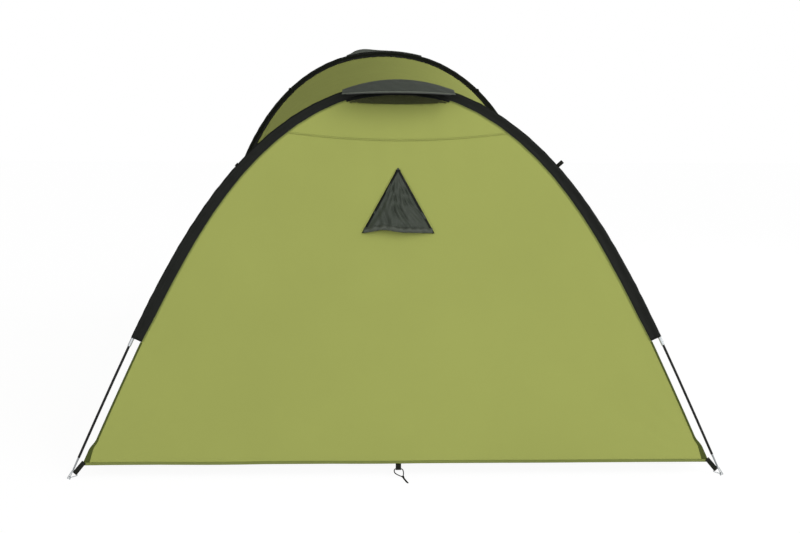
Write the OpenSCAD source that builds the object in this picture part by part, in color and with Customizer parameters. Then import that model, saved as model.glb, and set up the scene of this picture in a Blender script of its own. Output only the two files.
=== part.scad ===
// Two-hoop tunnel tent. Rear end faces -Y, door end faces +Y, ground is z = 0.
// All lengths are in millimetres and all angles in degrees.

/* [Footprint] */
// Distance between the two feet of one hoop
foot_span = 2400; // [2300:10:2500]
// Distance between the feet of the rear hoop and those of the front hoop
hoop_spacing = 3400; // [3360:10:3800]
// Height of the fly's hem above the ground
hem_h = 52; // [46:1:60]

/* [Hoops] */
// Slope of the rear hoop's legs at the ground
rear_leg_slope = 66.6; // [65:0.1:69]
// How strongly the rear hoop's bend gathers at its crown
rear_bend = 3.1; // [2.6:0.1:3.3]
// Slope of the front hoop's legs at the ground
front_leg_slope = 79.7; // [78:0.1:82]
// How strongly the front hoop's bend gathers at its crown
front_bend = 2.46; // [2.1:0.02:2.6]
// Share of the front hoop around its crown that stays nearly flat
front_flat = 0.03; // [0:0.01:0.05]
// Lean of the rear hoop towards the middle of the tent
rear_lean = 10; // [6:1:12]

/* [Poles] */
// Outside diameter of the fibreglass rods
rod_d = 9.5; // [8.5:0.1:9.5]
// Bore of the rods, which holds the shock cord
rod_bore = 3.4; // [3:0.1:4]
// Outside diameter of the steel ferrules that join the rods
ferrule_d = 12; // [11.6:0.1:12.4]
// Length of a ferrule
ferrule_len = 100; // [70:1:120]
// Height along the leg of the lowest joint between rods
lower_joint = 574; // [500:1:600]
// Wire diameter of the pins in the pole ends
pin_wire = 3.6; // [3:0.1:4]

/* [Fly] */
// Thickness of the fabric solids
cloth = 1.4; // [1.2:0.1:2]
// Greatest width of the sleeve, from the pole to its seam
sleeve_w = 39; // [34:1:44]
// How much narrower the sleeve is over the crown
crown_narrow = 11; // [8:1:14]
// Length of bare leg below the sleeve's mouth
bare_leg = 556; // [520:1:600]
// Gap between the bare leg and the wall's free edge
edge_inset = 31; // [28:1:36]
// Sag of the canopy halfway between the hoops
canopy_sag = 28; // [0:1:40]
// Height of the seam between the rear wall and its top panel
top_seam_h = 1244; // [1200:2:1260]

/* [Door and vents] */
// Width of the door
door_w = 760; // [700:10:780]
// Height of the door's sill above the feet
sill_h = 120; // [100:5:160]
// Height of the door's top above the feet
door_top = 1400; // [1300:10:1430]
// Radius of the door's upper corners
door_corner = 260; // [200:10:300]
// Width of the rear vent hood
rear_hood_w = 415; // [380:5:430]
// Width of the front vent hood
front_hood_w = 500; // [440:5:520]
// How far a vent hood stands out past its hoop
hood_reach = 130; // [100:5:150]
// Width of the rear wall's vent flap at its base
flap_w = 266; // [240:2:280]
// Height of the rear wall's vent flap
flap_h = 243; // [220:1:260]

/* [Bedroom] */
// Length of the bedroom's floor
bed_len = 1970; // [1900:10:2050]
// Half width of the bedroom's floor
bed_half = 1020; // [900:10:1030]
// Height of the bedroom's roof
bed_h = 1180; // [1100:10:1200]
// Half width of the bedroom's roof
bed_top_half = 360; // [300:10:380]

/* [Hidden] */
$fn = 48;

REAR = 0;
FRONT = 1;
HOOPS = [REAR, FRONT];

olive = "#a2a95c";
dark_olive = "#89924b";
black_cloth = "#1e2219";
grey_cloth = "#454b41";
steel = "#b9bcbd";

half_span = foot_span / 2;
eye_r = 5;
foot_z = eye_r + pin_wire / 2;
// The hoops stand a little behind the middle, because the front hood reaches out further
feet_y = [-hoop_spacing / 2 - 31.6, hoop_spacing / 2 - 31.6];
ground_gap = hem_h - foot_z;

// A hoop bends as a chain of equal arcs. Each arc starts and ends at a slope taken from one
// smooth rule, so neighbouring arcs are tangent.
leg_slope = [rear_leg_slope, front_leg_slope];
bend_power = [rear_bend, front_bend];
side_rods = [4, 5];
arcs = [8, 10];
flat_share = [0, front_flat];
slopes = [for (h = HOOPS) [for (i = [0:arcs[h]])
    let (w = max(0, i / arcs[h] - flat_share[h]) / (1 - flat_share[h]))
    leg_slope[h] * (1 - pow(1 - w, bend_power[h]))]];

function bend(h, i) = (slopes[h][i + 1] - slopes[h][i]) * PI / 180;
function reach(h, i) = i == 0 ? 0
    : reach(h, i - 1) + (sin(slopes[h][i]) - sin(slopes[h][i - 1])) / bend(h, i - 1);
function fall(h, i) = i == 0 ? 0
    : fall(h, i - 1) + (cos(slopes[h][i - 1]) - cos(slopes[h][i])) / bend(h, i - 1);

arc_len = [for (h = HOOPS) half_span / reach(h, arcs[h])];
half_len = [for (h = HOOPS) arc_len[h] * arcs[h]];
crown_h = [for (h = HOOPS) arc_len[h] * fall(h, arcs[h])];
knots = [for (h = HOOPS) [for (i = [0:arcs[h]])
    [arc_len[h] * reach(h, i), crown_h[h] - arc_len[h] * fall(h, i)]]];

// s runs along a hoop from its crown, and is negative on the left side
function arc_r(h, i) = arc_len[h] / bend(h, i);
function arc_at(h, s) = min(floor(s / arc_len[h]), arcs[h] - 1);
function slope_at(h, s) = let (i = arc_at(h, s))
    slopes[h][i] + (s / arc_len[h] - i) * (slopes[h][i + 1] - slopes[h][i]);
function right_at(h, s, inset) =
    let (i = arc_at(h, s), a = slopes[h][i], b = slope_at(h, s), r = arc_r(h, i))
    [knots[h][i].x + r * (sin(b) - sin(a)) - inset * sin(b),
     knots[h][i].y - r * (cos(a) - cos(b)) - inset * cos(b)];
function hoop_at(h, s, inset = 0) =
    let (p = right_at(h, abs(s), inset)) [s < 0 ? -p.x : p.x, p.y];

// Rods meet in straight ferrules: one at the crown, the lowest above the bare leg. Between two
// ferrules a rod bends through a few short chords, and what lies along a hoop shares these stations.
rod_foot = 80;
free_chords = 4;
joint_pitch = [for (h = HOOPS) (half_len[h] - lower_joint) / (side_rods[h] - 1)];
right_stations = [for (h = HOOPS) concat(
    [for (k = [0:side_rods[h] - 1]) let (start = k * joint_pitch[h] + ferrule_len / 2,
        end = k < side_rods[h] - 1 ? (k + 1) * joint_pitch[h] - ferrule_len / 2 : half_len[h])
        for (i = [0:free_chords]) start + (end - start) * i / free_chords])];
stations = [for (h = HOOPS) let (n = len(right_stations[h]))
    concat([for (i = [n - 1:-1:0]) -right_stations[h][i]], right_stations[h])];

function place(h, s) = let (q = stations[h], i = min(len([for (v = q) if (v <= s) v]), len(q) - 1) - 1,
        t = (s - q[i]) / (q[i + 1] - q[i]))
    hoop_at(h, q[i]) * (1 - t) + hoop_at(h, q[i + 1]) * t;
function way(a, b) = (b - a) / norm(b - a);
// Outward normal where the path turns at b, long enough to keep both chords' width
function miter(a, b, c) = let (m = way(a, b) + way(b, c), n = [-m.y, m.x] / norm(m))
    n / (n * [-way(a, b).y, way(a, b).x]);

// Distance from a pole's centre to the edge of its end wall, which is also where the sleeve is
// sewn. The sleeve is narrow over the crown and widens down to its mouths; beside the bare leg the
// edge is free, and the corner is cut closer to the leg.
seam_end = [for (h = HOOPS) half_len[h] - bare_leg];
wall_inset = sleeve_w + 0.3;
crown_inset = wall_inset - crown_narrow;
edge_table = [for (h = HOOPS) [[0, crown_inset], [seam_end[h] - 1140, crown_inset],
    [seam_end[h] - 840, crown_inset + 4], [seam_end[h] - 290, wall_inset], [seam_end[h] - 100, wall_inset],
    [seam_end[h], wall_inset - 4], [seam_end[h] + 2, edge_inset], [half_len[h] - 165, edge_inset + 1],
    [half_len[h] - 118, edge_inset - 9], [half_len[h], edge_inset - 9]]];
function edge_in(h, s) = lookup(abs(s), edge_table[h]);

// The stretch of a hoop between two places, moved outwards in its plane by a fixed distance and
// by a share of the distance to the wall's edge
function stretch(h, from, to, fixed, share = 0) =
    let (s = concat([from], [for (q = stations[h]) if (q > from + 0.01 && q < to - 0.01) q], [to]),
         p = [for (q = s) place(h, q)], n = len(p) - 1)
    [for (i = [0:n]) p[i] + (fixed + share * edge_in(h, s[i])) * (i == 0 ? miter(p[0], p[1], 2 * p[1] - p[0])
        : i == n ? miter(p[n - 1], p[n], 2 * p[n] - p[n - 1]) : miter(p[i - 1], p[i], p[i + 1]))];

// A hoop's own frame: x across, -y out of the tent, z up its plane from the feet
module in_hoop(h) {
    if (h == REAR)
        translate([0, feet_y[REAR], foot_z]) rotate([-rear_lean, 0, 0]) children();
    else
        translate([0, feet_y[FRONT], foot_z]) rotate([0, 0, 180]) children();
}

// The same frame without the lean, for what stays on the ground
module at_feet(h) {
    translate([0, feet_y[h], foot_z]) rotate([0, 0, h == REAR ? 0 : 180]) children();
}

module both_sides() {
    children();
    mirror([1, 0, 0]) children();
}

// Sweeps a section along a hoop: its x points outwards in the hoop's plane, and an optional third
// value adds a share of the distance to the wall's edge. A bore has as many points as the outline.
module along_hoop(h, from, to, outline, bore = []) {
    k = len(outline);
    lines = [for (o = concat(outline, bore)) let (share = len(o) == 3 ? o.z : 0)
        [for (p = stretch(h, from, to, o.x, share)) [p.x, -o.y, p.y]]];
    m = len(lines[0]);
    all = len(lines);
    points = [for (i = [0:m - 1], j = [0:all - 1]) lines[j][i]];
    around = [for (j = [0:k - 1]) [j, (j + 1) % k]];
    outer = [for (i = [0:m - 2], e = around) let (p = i * all, q = p + all)
        each [[p + e[1], p + e[0], q + e[0]], [p + e[1], q + e[0], q + e[1]]]];
    inner = len(bore) == 0 ? [] : [for (i = [0:m - 2], e = around) let (p = i * all + k, q = p + all)
        each [[p + e[0], p + e[1], q + e[1]], [p + e[0], q + e[1], q + e[0]]]];
    caps = [for (i = [0, m - 1]) for (f = len(bore) == 0 ? [for (j = [1:k - 2]) [0, j, j + 1]]
        : [for (e = around) each [[e[0], e[1], e[1] + k], [e[0], e[1] + k, e[0] + k]]])
        let (g = f + [1, 1, 1] * i * all) i == 0 ? g : [g[0], g[2], g[1]]];
    polyhedron(points, concat(outer, inner, caps), convexity = 8);
}

function round_section(r, n = 8) = [for (j = [0:n - 1]) r * [cos(360 * j / n), sin(360 * j / n)]];

// Puts z along the right leg, starting at the foot
module on_leg(h) {
    translate([half_span, 0, 0]) rotate([0, leg_slope[h] - 90, 0]) children();
}

// Closed thin shell between two grids of points that have the same rows and columns
module skin(top, under) {
    rows = len(top);
    cols = len(top[0]);
    n = rows * cols;
    points = concat([for (row = top) each row], [for (row = under) each row]);
    face_rows = [0:rows - 2];
    face_cols = [0:cols - 2];
    outer = [for (r = face_rows, c = face_cols) let (a = r * cols + c)
        each [[a, a + cols + 1, a + 1], [a, a + cols, a + cols + 1]]];
    inner = [for (f = outer) [f[0] + n, f[2] + n, f[1] + n]];
    near = [for (c = face_cols) each [[c, c + 1, c + 1 + n], [c, c + 1 + n, c + n]]];
    far = [for (c = face_cols) let (a = (rows - 1) * cols + c)
        each [[a + 1, a, a + n], [a + 1, a + n, a + 1 + n]]];
    left = [for (r = face_rows) let (a = r * cols, b = a + cols)
        each [[b, a, a + n], [b, a + n, b + n]]];
    right = [for (r = face_rows) let (a = r * cols + cols - 1, b = a + cols)
        each [[a, b, b + n], [a, b + n, a + n]]];
    polyhedron(points, concat(outer, inner, near, far, left, right), convexity = 6);
}

// Flat quadrilateral plate; the corners run anticlockwise seen from the side it grows to
module plate(p, thick) {
    v = cross(p[1] - p[0], p[3] - p[0]);
    off = v / norm(v) * thick;
    skin([[p[0] + off, p[1] + off], [p[3] + off, p[2] + off]], [[p[0], p[1]], [p[3], p[2]]]);
}

// A round cord or wire swept along a path, with a diameter for each of its points; ref is a
// direction that the path never takes
module tube(path, d, ref, sides = 8, closed = false) {
    n = len(path);
    last = closed ? n : n - 1;
    function along(i) = closed ? path[(i + 1) % n] - path[(i + n - 1) % n]
        : path[min(i + 1, n - 1)] - path[max(i - 1, 0)];
    points = [for (i = [0:n - 1]) let (t = along(i), a = cross(t, ref), b = cross(t, a))
        for (j = [0:sides - 1]) let (turn = 360 * j / sides)
            path[i] + d[i] / 2 * (cos(turn) * a / norm(a) + sin(turn) * b / norm(b))];
    wall = [for (i = [0:last - 1], j = [0:sides - 1])
        let (k = (j + 1) % sides, p = i * sides, q = (i + 1) % n * sides)
        each [[p + k, p + j, q + j], [p + k, q + j, q + k]]];
    start = [for (j = [1:sides - 2]) [0, j, j + 1]];
    end = [for (j = [1:sides - 2]) [last * sides, last * sides + j + 1, last * sides + j]];
    polyhedron(points, closed ? wall : concat(wall, start, end), convexity = 4);
}

// Stands a flat outline up in a hoop's plane, from y = -front to y = -back
module upright(front, back) {
    translate([0, -back, 0]) rotate([90, 0, 0]) linear_extrude(height = front - back) children();
}

// ---- Poles ----

module rods(h) {
    last = side_rods[h] - 1;
    color("#17181a") in_hoop(h) both_sides()
        for (k = [0:last])
            along_hoop(h, k * joint_pitch[h] + 0.2,
                k < last ? (k + 1) * joint_pitch[h] - 0.2 : half_len[h] - rod_foot,
                round_section(rod_d / 2), round_section(rod_bore / 2));
}

module ferrule() {
    difference() {
        cylinder(d = ferrule_d, h = ferrule_len, center = true);
        cylinder(d = rod_d + 0.1, h = ferrule_len + 1, center = true);
    }
}

module ferrules(h) {
    color(steel) in_hoop(h) for (k = [1 - side_rods[h]:side_rods[h] - 1]) {
        p = place(h, k * joint_pitch[h]);
        w = place(h, k * joint_pitch[h] + ferrule_len / 4) - p;
        translate([p.x, 0, p.y]) rotate([0, atan2(w.x, w.y), 0]) ferrule();
    }
}

// Tapered end plugs, with a spigot in the rod's bore and a socket for the pin
tip_foot = 30;
spigot_len = 8;
pin_reach = 46;

module pole_tips(h) {
    color("#4b4e50") in_hoop(h) both_sides() on_leg(h)
        difference() {
            union() {
                translate([0, 0, tip_foot])
                    cylinder(d1 = pin_wire + 2.2, d2 = rod_d - 2.3, h = rod_foot - tip_foot - 0.4);
                translate([0, 0, rod_foot - 12]) cylinder(d = rod_bore - 0.8, h = spigot_len + 12);
            }
            translate([0, 0, tip_foot - 1]) cylinder(d = pin_wire + 0.6, h = pin_reach - tip_foot + 3);
        }
}

module shock_cord(h) {
    end = half_len[h] - rod_foot - spigot_len - 2;
    color("#c9c7bd") in_hoop(h) along_hoop(h, -end, end, round_section(rod_bore / 2 - 0.4, 6));
}

module pins(h) {
    color(steel) in_hoop(h) both_sides() {
        translate([half_span, 0, 0]) rotate([0, 90, 0])
            rotate_extrude() translate([eye_r, 0]) circle(d = pin_wire, $fn = 24);
        on_leg(h) translate([0, 0, eye_r]) cylinder(d = pin_wire, h = pin_reach - eye_r, $fn = 24);
    }
}

module rear_rods() { rods(REAR); }
module rear_ferrules() { ferrules(REAR); }
module rear_pole_tips() { pole_tips(REAR); }
module rear_shock_cord() { shock_cord(REAR); }
module rear_pins() { pins(REAR); }
module front_rods() { rods(FRONT); }
module front_ferrules() { ferrules(FRONT); }
module front_pole_tips() { pole_tips(FRONT); }
module front_shock_cord() { shock_cord(FRONT); }
module front_pins() { pins(FRONT); }

// ---- Sleeves ----

loop_r = ferrule_d / 2 + 0.4;

// Section of the cloth loop: a drop that closes at the seam
function drop(r, short, half) = concat(
    [for (t = [-105:30:105]) r * [cos(t), sin(t)]], [[short, half, -1], [short, -half, -1]]);

module sleeve(h) {
    color(black_cloth) in_hoop(h)
        along_hoop(h, -seam_end[h], seam_end[h], drop(loop_r + 1.2, 0.3, 1), drop(loop_r, 12.3, 0.1));
}

module rear_sleeve() { sleeve(REAR); }
module front_sleeve() { sleeve(FRONT); }

// ---- End walls ----

// Outline of an end wall: along the bare legs and the sleeve's seam
module wall_outline(h, bottom) {
    spans = [[-half_len[h], 118 - half_len[h]], [165 - half_len[h], -seam_end[h] - 2],
        [-seam_end[h], seam_end[h]], [seam_end[h] + 2, half_len[h] - 165], [half_len[h] - 118, half_len[h]]];
    intersection() {
        polygon([for (s = spans) each stretch(h, s[0], s[1], 0, -1)]);
        translate([-foot_span, bottom]) square([2 * foot_span, 2 * foot_span]);
    }
}

hem_band = 11;
hem_gap = 0.2;

module hem(h) {
    color(dark_olive) in_hoop(h) upright(cloth / 2 + 0.3, -cloth / 2 - 0.3) difference() {
        wall_outline(h, ground_gap);
        translate([-foot_span, ground_gap + hem_band]) square([2 * foot_span, 2 * foot_span]);
    }
}

// Half-moon vent just under the crown, closed by its chord
vent_half = 250;
module crown_vent(h, grow) {
    rim = [for (i = [-10:10]) hoop_at(h, (vent_half + grow) * i / 10, crown_inset + 8 - grow)];
    low = rim[0].y - 0.5 - grow;
    polygon(concat(rim, [[rim[20].x, low], [rim[0].x, low]]));
}

// The rear wall's upper seam sags as one large arc
seam_r = 2950;
module above_seam(gap) {
    translate([0, top_seam_h + seam_r + gap]) circle(r = seam_r, $fn = 720);
}

flap_top = crown_h[REAR] - 311;
module vent_triangle(shrink) {
    half = flap_w / 2 * (1 - shrink);
    top = flap_top - flap_h * shrink * 0.7;
    base = flap_top - flap_h * (1 - shrink / 3);
    polygon([[-half, base], [half, base], [0, top]]);
}

module rear_top_panel() {
    color(olive) in_hoop(REAR) upright(cloth / 2, -cloth / 2) difference() {
        intersection() {
            wall_outline(REAR, ground_gap + hem_band + hem_gap);
            above_seam(0.2);
        }
        crown_vent(REAR, 0);
    }
}

module rear_wall() {
    color(olive) in_hoop(REAR) upright(cloth / 2, -cloth / 2) difference() {
        wall_outline(REAR, ground_gap + hem_band + hem_gap);
        above_seam(0);
        vent_triangle(0.18);
    }
}

module rear_vent_mesh() {
    color("#2a2d26") in_hoop(REAR) upright(-cloth / 2 - 0.2, -cloth / 2 - 1) vent_triangle(0.08);
}

// The flap is sewn along its two upper edges and stands open along its base
flap_bulge = 30;
module rear_vent_flap() {
    n = 8;
    function at(u, v, lift) = [u * flap_w / 2 * (1 - v) , -cloth / 2 - 0.3 - lift
        - flap_bulge * (1 - u * u) * pow(1 - v, 1.5), flap_top - flap_h * (1 - v)];
    rows = [for (j = [0:n]) 0.97 * j / n];
    cols = [for (i = [-n:n]) i / n];
    color(grey_cloth) in_hoop(REAR) skin(
        [for (v = rows) [for (u = cols) at(u, v, cloth)]],
        [for (v = rows) [for (u = cols) at(u, v, 0)]]);
}

module crown_mesh(h) {
    color("#2a2d26") in_hoop(h) upright(-cloth / 2 - 0.2, -cloth / 2 - 1) crown_vent(h, 4);
}

module rear_hem() { hem(REAR); }
module rear_crown_mesh() { crown_mesh(REAR); }
module front_hem() { hem(FRONT); }
module front_crown_mesh() { crown_mesh(FRONT); }

// ---- Vent hoods ----

hood_w = [rear_hood_w, front_hood_w];
hood_clear = loop_r + 5;
brim_drop = 59;
hood_back = 10;

// One point of a hood: across from -1 to 1, out from 0 behind the pole to 1 at the brim
function hood_at(h, across, out, lift) =
    let (x = across * hood_w[h] / 2, p = hoop_at(h, x * 1.01), over = 0.13,
         rest = p.y + hood_clear / cos(slope_at(h, abs(x))) + lift, brim = crown_h[h] - brim_drop + lift)
    out < over
        ? [x, hood_back * (1 - out / over), rest - 4 * pow(1 - out / over, 2)]
        : let (t = (out - over) / (1 - over), stand = hood_reach * (1 - 0.25 * across * across))
          [x, -stand * t, rest + (min(brim, rest) - rest) * pow(t, 1.25)];

module hood(h) {
    cols = [for (i = [-12:12]) i / 12];
    rows = [for (j = [8:-1:0]) j / 8];
    color(grey_cloth) in_hoop(h) skin(
        [for (v = rows) [for (u = cols) hood_at(h, u, v, cloth)]],
        [for (v = rows) [for (u = cols) hood_at(h, u, v, 0)]]);
}

// Flat plastic strip in the brim's hem
module hood_stiffener(h) {
    cols = [for (i = [-11:11]) i / 12];
    rows = [for (j = [2:-1:0]) 0.93 + 0.065 * j / 2];
    color("#33372f") in_hoop(h) skin(
        [for (v = rows) [for (u = cols) hood_at(h, u, v, -0.3)]],
        [for (v = rows) [for (u = cols) hood_at(h, u, v, -2)]]);
}

module rear_hood() { hood(REAR); }
module rear_hood_stiffener() { hood_stiffener(REAR); }
module front_hood() { hood(FRONT); }
module front_hood_stiffener() { hood_stiffener(FRONT); }

// ---- Loops of webbing ----

// A flat loop in the y-z plane that hangs from the origin down to -len, with room for a cord
module webbing_loop(len, width) {
    t = 1.4;
    eye = 9;
    rotate([0, 90, 0]) linear_extrude(height = width, center = true) difference() {
        union() {
            translate([len - eye / 2 - t, 0]) circle(d = eye + 2 * t, $fn = 32);
            translate([0, -t]) square([len - eye / 2 - t, 2 * t]);
        }
        translate([len - eye / 2 - t, 0]) circle(d = eye, $fn = 32);
    }
}

// Guy loops stand on the outer edge of the sleeves, where the pole pulls
guy_s = 690;
guy_len = 22;
guy_w = 15;
module guy_loop(h, turned) {
    p = stretch(h, guy_s, half_len[h], loop_r + 3.6)[0];
    color(black_cloth) in_hoop(h) translate([p.x, 0, p.y]) rotate([0, slope_at(h, guy_s), 0])
        rotate([turned, 0, 0]) rotate([180, 0, 0]) webbing_loop(guy_len, guy_w);
}

module rear_guy_loop_right() { guy_loop(REAR, 0); }
module rear_guy_loop_left() { mirror([1, 0, 0]) guy_loop(REAR, -105); }
module front_guy_loop_right() { mirror([1, 0, 0]) guy_loop(FRONT, -105); }
module front_guy_loop_left() { guy_loop(FRONT, -105); }

// Peg loop: a webbing tab at the hem that carries a cord loop, knotted to one side, with two
// strands of tail lying together on the ground
peg_drop = 22;
peg_w = 20;
cord_d = 3;
// The cord's route: from the webbing's eye round the left to the knot, and from there back
cord_route = [[-5, 0, 32.6], [-10.8, -0.6, 32.3], [-14.2, -2, 30], [-15.5, -3.4, 24.9], [-13, -5, 18.7],
    [-6, -6.6, 13.4], [4, -8, 9], [12, -9.2, 5.9], [16.6, -9.8, 5.4], [18, -8.6, 9.5], [18.6, -6, 15.8],
    [18.2, -4, 22.8], [15.6, -2, 29.3], [11, -0.6, 32.2], [5, 0, 32.6]];
knot_path = [[13.2, -9.6, 6.2], [14.6, -9.8, 5.8], [17.8, -11, 5], [19.2, -13.4, 4.4], [19.8, -15, 3.8]];
knot_d = [5, 8, 8.8, 7.6, 4.8];
long_tail = [[20.4, -16.6, 3], [22.4, -24, 1.8], [25.4, -36, 1.6], [28.8, -50, 1.6], [33.6, -67.9, 1.6]];
short_tail = [for (p = long_tail) p + [-3.3, 1.4, 0]];
module peg_loop() {
    translate([0, 0, hem_h - 2]) webbing_loop(peg_drop, peg_w);
    tube(cord_route, [for (p = cord_route) cord_d], [0, 0.7, -0.7], closed = true);
    tube(knot_path, knot_d, [0, 0, 1]);
    tube(long_tail, [for (p = long_tail) cord_d], [0, 0, 1]);
    tube(short_tail, [for (p = short_tail) cord_d], [0, 0, 1]);
}

module end_peg_loop(h) {
    hem_y = h == REAR ? ground_gap * tan(rear_lean) : 0;
    color(black_cloth) at_feet(h) translate([0, hem_y - 4, -foot_z]) peg_loop();
}

module rear_peg_loop() { end_peg_loop(REAR); }
module front_peg_loop() { end_peg_loop(FRONT); }

// ---- Door ----

door_gap = 0.8;
coil_w = 4;
hinge_x = door_w / 2 + door_gap;

// Outline of the door, wider all round by grow
module door_shape(grow) {
    r = door_corner + grow;
    translate([-door_w / 2 - grow, sill_h - grow])
        square([door_w + 2 * grow, door_top - door_corner - sill_h + grow]);
    translate([-door_w / 2 + door_corner, sill_h])
        square([door_w - 2 * door_corner, door_top - sill_h + grow]);
    for (x = [-1, 1])
        translate([x * (door_w / 2 - door_corner), door_top - door_corner]) circle(r = r, $fn = 180);
}

module zip_run(outer, inner) {
    difference() {
        door_shape(outer);
        door_shape(inner);
        translate([door_w / 2 - 12, 0]) square([100, 2 * door_top]);
    }
}

module front_wall() {
    color(olive) in_hoop(FRONT) upright(cloth / 2, -cloth / 2) difference() {
        wall_outline(FRONT, ground_gap + hem_band + hem_gap);
        crown_vent(FRONT, 0);
        door_shape(door_gap);
    }
}

module door_panel() {
    color(olive) in_hoop(FRONT) upright(cloth / 2, -cloth / 2) door_shape(0);
}

module wall_zip() {
    color("#26281f") in_hoop(FRONT) upright(cloth / 2 + 2, cloth / 2) zip_run(door_gap + coil_w, door_gap);
}

module door_zip() {
    color("#26281f") in_hoop(FRONT) upright(cloth / 2 + 2, cloth / 2) zip_run(0, -coil_w);
}

// A slider caps both coils and hooks over the door's coil only, with its pull tab hanging from it
slider_len = 16;
module zip_slider() {
    face = cloth / 2 + 2.3;
    upright(face + 1.6, face)
        translate([-coil_w - 1, -slider_len / 2]) square([2 * coil_w + 3.6, slider_len]);
    upright(face + 1, cloth / 2 + 0.4)
        translate([coil_w + 0.4 - 0.1, -slider_len / 2]) square([1.4, slider_len]);
    upright(face + 3.4, face + 1.4) translate([-2, -3]) square([4, 6]);
    upright(face + 4.8, face + 3.2) difference() {
        translate([-4, -34]) square([8, 36]);
        translate([0, -28]) circle(d = 4.4, $fn = 24);
    }
}

module side_zip_slider() {
    color(steel) in_hoop(FRONT) translate([-door_w / 2, 0, sill_h + 60]) zip_slider();
}

module sill_zip_slider() {
    color(steel) in_hoop(FRONT) translate([-door_w / 2 + 70, 0, sill_h]) rotate([0, -90, 0]) zip_slider();
}

// Toggles and cord loops that tie the open door back, beside its sewn edge
module door_toggles() {
    out = cloth / 2 + 0.2;
    color("#20211d") in_hoop(FRONT) for (z = [420, 760, 1060]) translate([hinge_x + 26, 0, z]) {
        upright(out + 1.4, out) translate([-8, -9]) square([16, 18]);
        translate([0, -out - 5.2, -17]) cylinder(d = 8, h = 34);
        translate([0, -out - 1.4, 0]) rotate([90, 0, 0]) cylinder(d = 4, h = 3);
    }
}

// ---- Canopy between the hoops ----

canopy_start = 3;
hem_sweep = [for (h = HOOPS) half_len[h] - (ground_gap + 12) / sin(leg_slope[h])];

// A point on the canopy's edge at a hoop, in the tent's frame; u runs from -1 to 1 over the roof
function hoop_edge(h, u) =
    let (s = u * hem_sweep[h], p = hoop_at(h, s, edge_in(h, s)),
         lean = h == REAR ? rear_lean : 0, dir = h == REAR ? 1 : -1)
    [p.x, feet_y[h] + dir * (p.y * sin(lean) + canopy_start * cos(lean)),
     foot_z + p.y * cos(lean) - canopy_start * sin(lean)];

function canopy_at(u, v, depth) =
    let (p = hoop_edge(REAR, u) * (1 - v) + hoop_edge(FRONT, u) * v,
         sag = canopy_sag * 4 * v * (1 - v) * (1 - pow(abs(u), 6)) + depth,
         hub = [0, p.y, 420], d = p - hub)
    p - d / norm(d) * sag;

module canopy(from, to) {
    n = ceil((to - from) * 28);
    cols = [for (i = [0:n]) from + (to - from) * i / n];
    rows = [for (j = [0:12]) j / 12];
    color(olive) skin([for (v = rows) [for (u = cols) canopy_at(u, v, 0)]],
                      [for (v = rows) [for (u = cols) canopy_at(u, v, cloth)]]);
}

roof_u = 0.42;
hem_u = 0.993;
module roof_panel() { canopy(-roof_u, roof_u); }
module left_side_panel() { canopy(-hem_u, -roof_u); }
module right_side_panel() { canopy(roof_u, hem_u); }

// Bound lower edge of the side panels
module side_hems() {
    rows = [for (j = [0:12]) j / 12];
    color(dark_olive) both_sides() skin(
        [for (v = rows) [for (u = [hem_u + 0.0002, 1]) canopy_at(u, v, -0.3)]],
        [for (v = rows) [for (u = [hem_u + 0.0002, 1]) canopy_at(u, v, cloth + 0.3)]]);
}

// ---- Corners: webbing, ring and pin ----

ring_d = 3.2;
ring_a = [-31, -5, 11];
ring_b = [10.5, 1, -3];
ring_c = [-13, -10, 31];

// The three sides of a ring, with its corners rounded by short chamfers
function rounded(p, cut) = [for (i = [0:2])
    let (a = p[i], b = way(a, p[(i + 2) % 3]), c = way(a, p[(i + 1) % 3]))
    each [a + b * cut, a + (b + c) * cut / 3, a + c * cut]];

module corner_rings() {
    color(steel) for (h = HOOPS) at_feet(h) both_sides() translate([half_span, 0, 0])
        tube(rounded([ring_a, ring_b, ring_c], 3), [for (i = [1:9]) ring_d],
            cross(ring_b - ring_a, ring_c - ring_a), closed = true);
}

// A strap loops round the ring's upper side and is sewn to the fly's corner
module corner_webbing() {
    side = (ring_c - ring_a) / norm(ring_c - ring_a);
    mid = (ring_a + ring_c) / 2;
    low = mid - side * 8;
    high = mid + side * 8;
    off = [-2.4, 0, 2];
    function on_hem(h, x, z) = [x, (h == REAR ? z * tan(rear_lean) : 0) - 1.5, z];
    color(black_cloth) for (h = HOOPS) at_feet(h) both_sides() translate([half_span, 0, 0]) {
        difference() {
            translate(low) rotate([0, acos(side.z), atan2(side.y, side.x)])
                cylinder(d = ring_d + 3.4, h = 16, $fn = 32);
            translate(low - side) rotate([0, acos(side.z), atan2(side.y, side.x)])
                cylinder(d = ring_d + 0.4, h = 18, $fn = 32);
        }
        plate([low + off, high + off, on_hem(h, -41, 58), on_hem(h, -54, 45)], 1.6);
    }
}

// ---- Side peg loops, on the hems between the hoops ----

peg_spread = 900;
module side_peg_loop(side, y) {
    v = (y - feet_y[REAR]) / hoop_spacing;
    p = canopy_at(1, v, 0);
    color(black_cloth) translate([side * (p.x + 3.2), y, 0]) rotate([0, 0, side * 90]) peg_loop();
}

module left_rear_peg_loop() { side_peg_loop(-1, -peg_spread); }
module left_front_peg_loop() { side_peg_loop(-1, peg_spread); }
module right_rear_peg_loop() { side_peg_loop(1, -peg_spread); }
module right_front_peg_loop() { side_peg_loop(1, peg_spread); }

// ---- Groundsheet and bedroom ----

sheet_t = 2;
// Gaps between the sheet's ends and the rear and front feet
sheet_gap = [178, 30];
module groundsheet() {
    size = [foot_span - 130, hoop_spacing - sheet_gap[REAR] - sheet_gap[FRONT]];
    color("#3c4149") translate([-size.x / 2, feet_y[REAR] + sheet_gap[REAR], 0])
        cube([size.x, size.y, sheet_t]);
}

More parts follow.
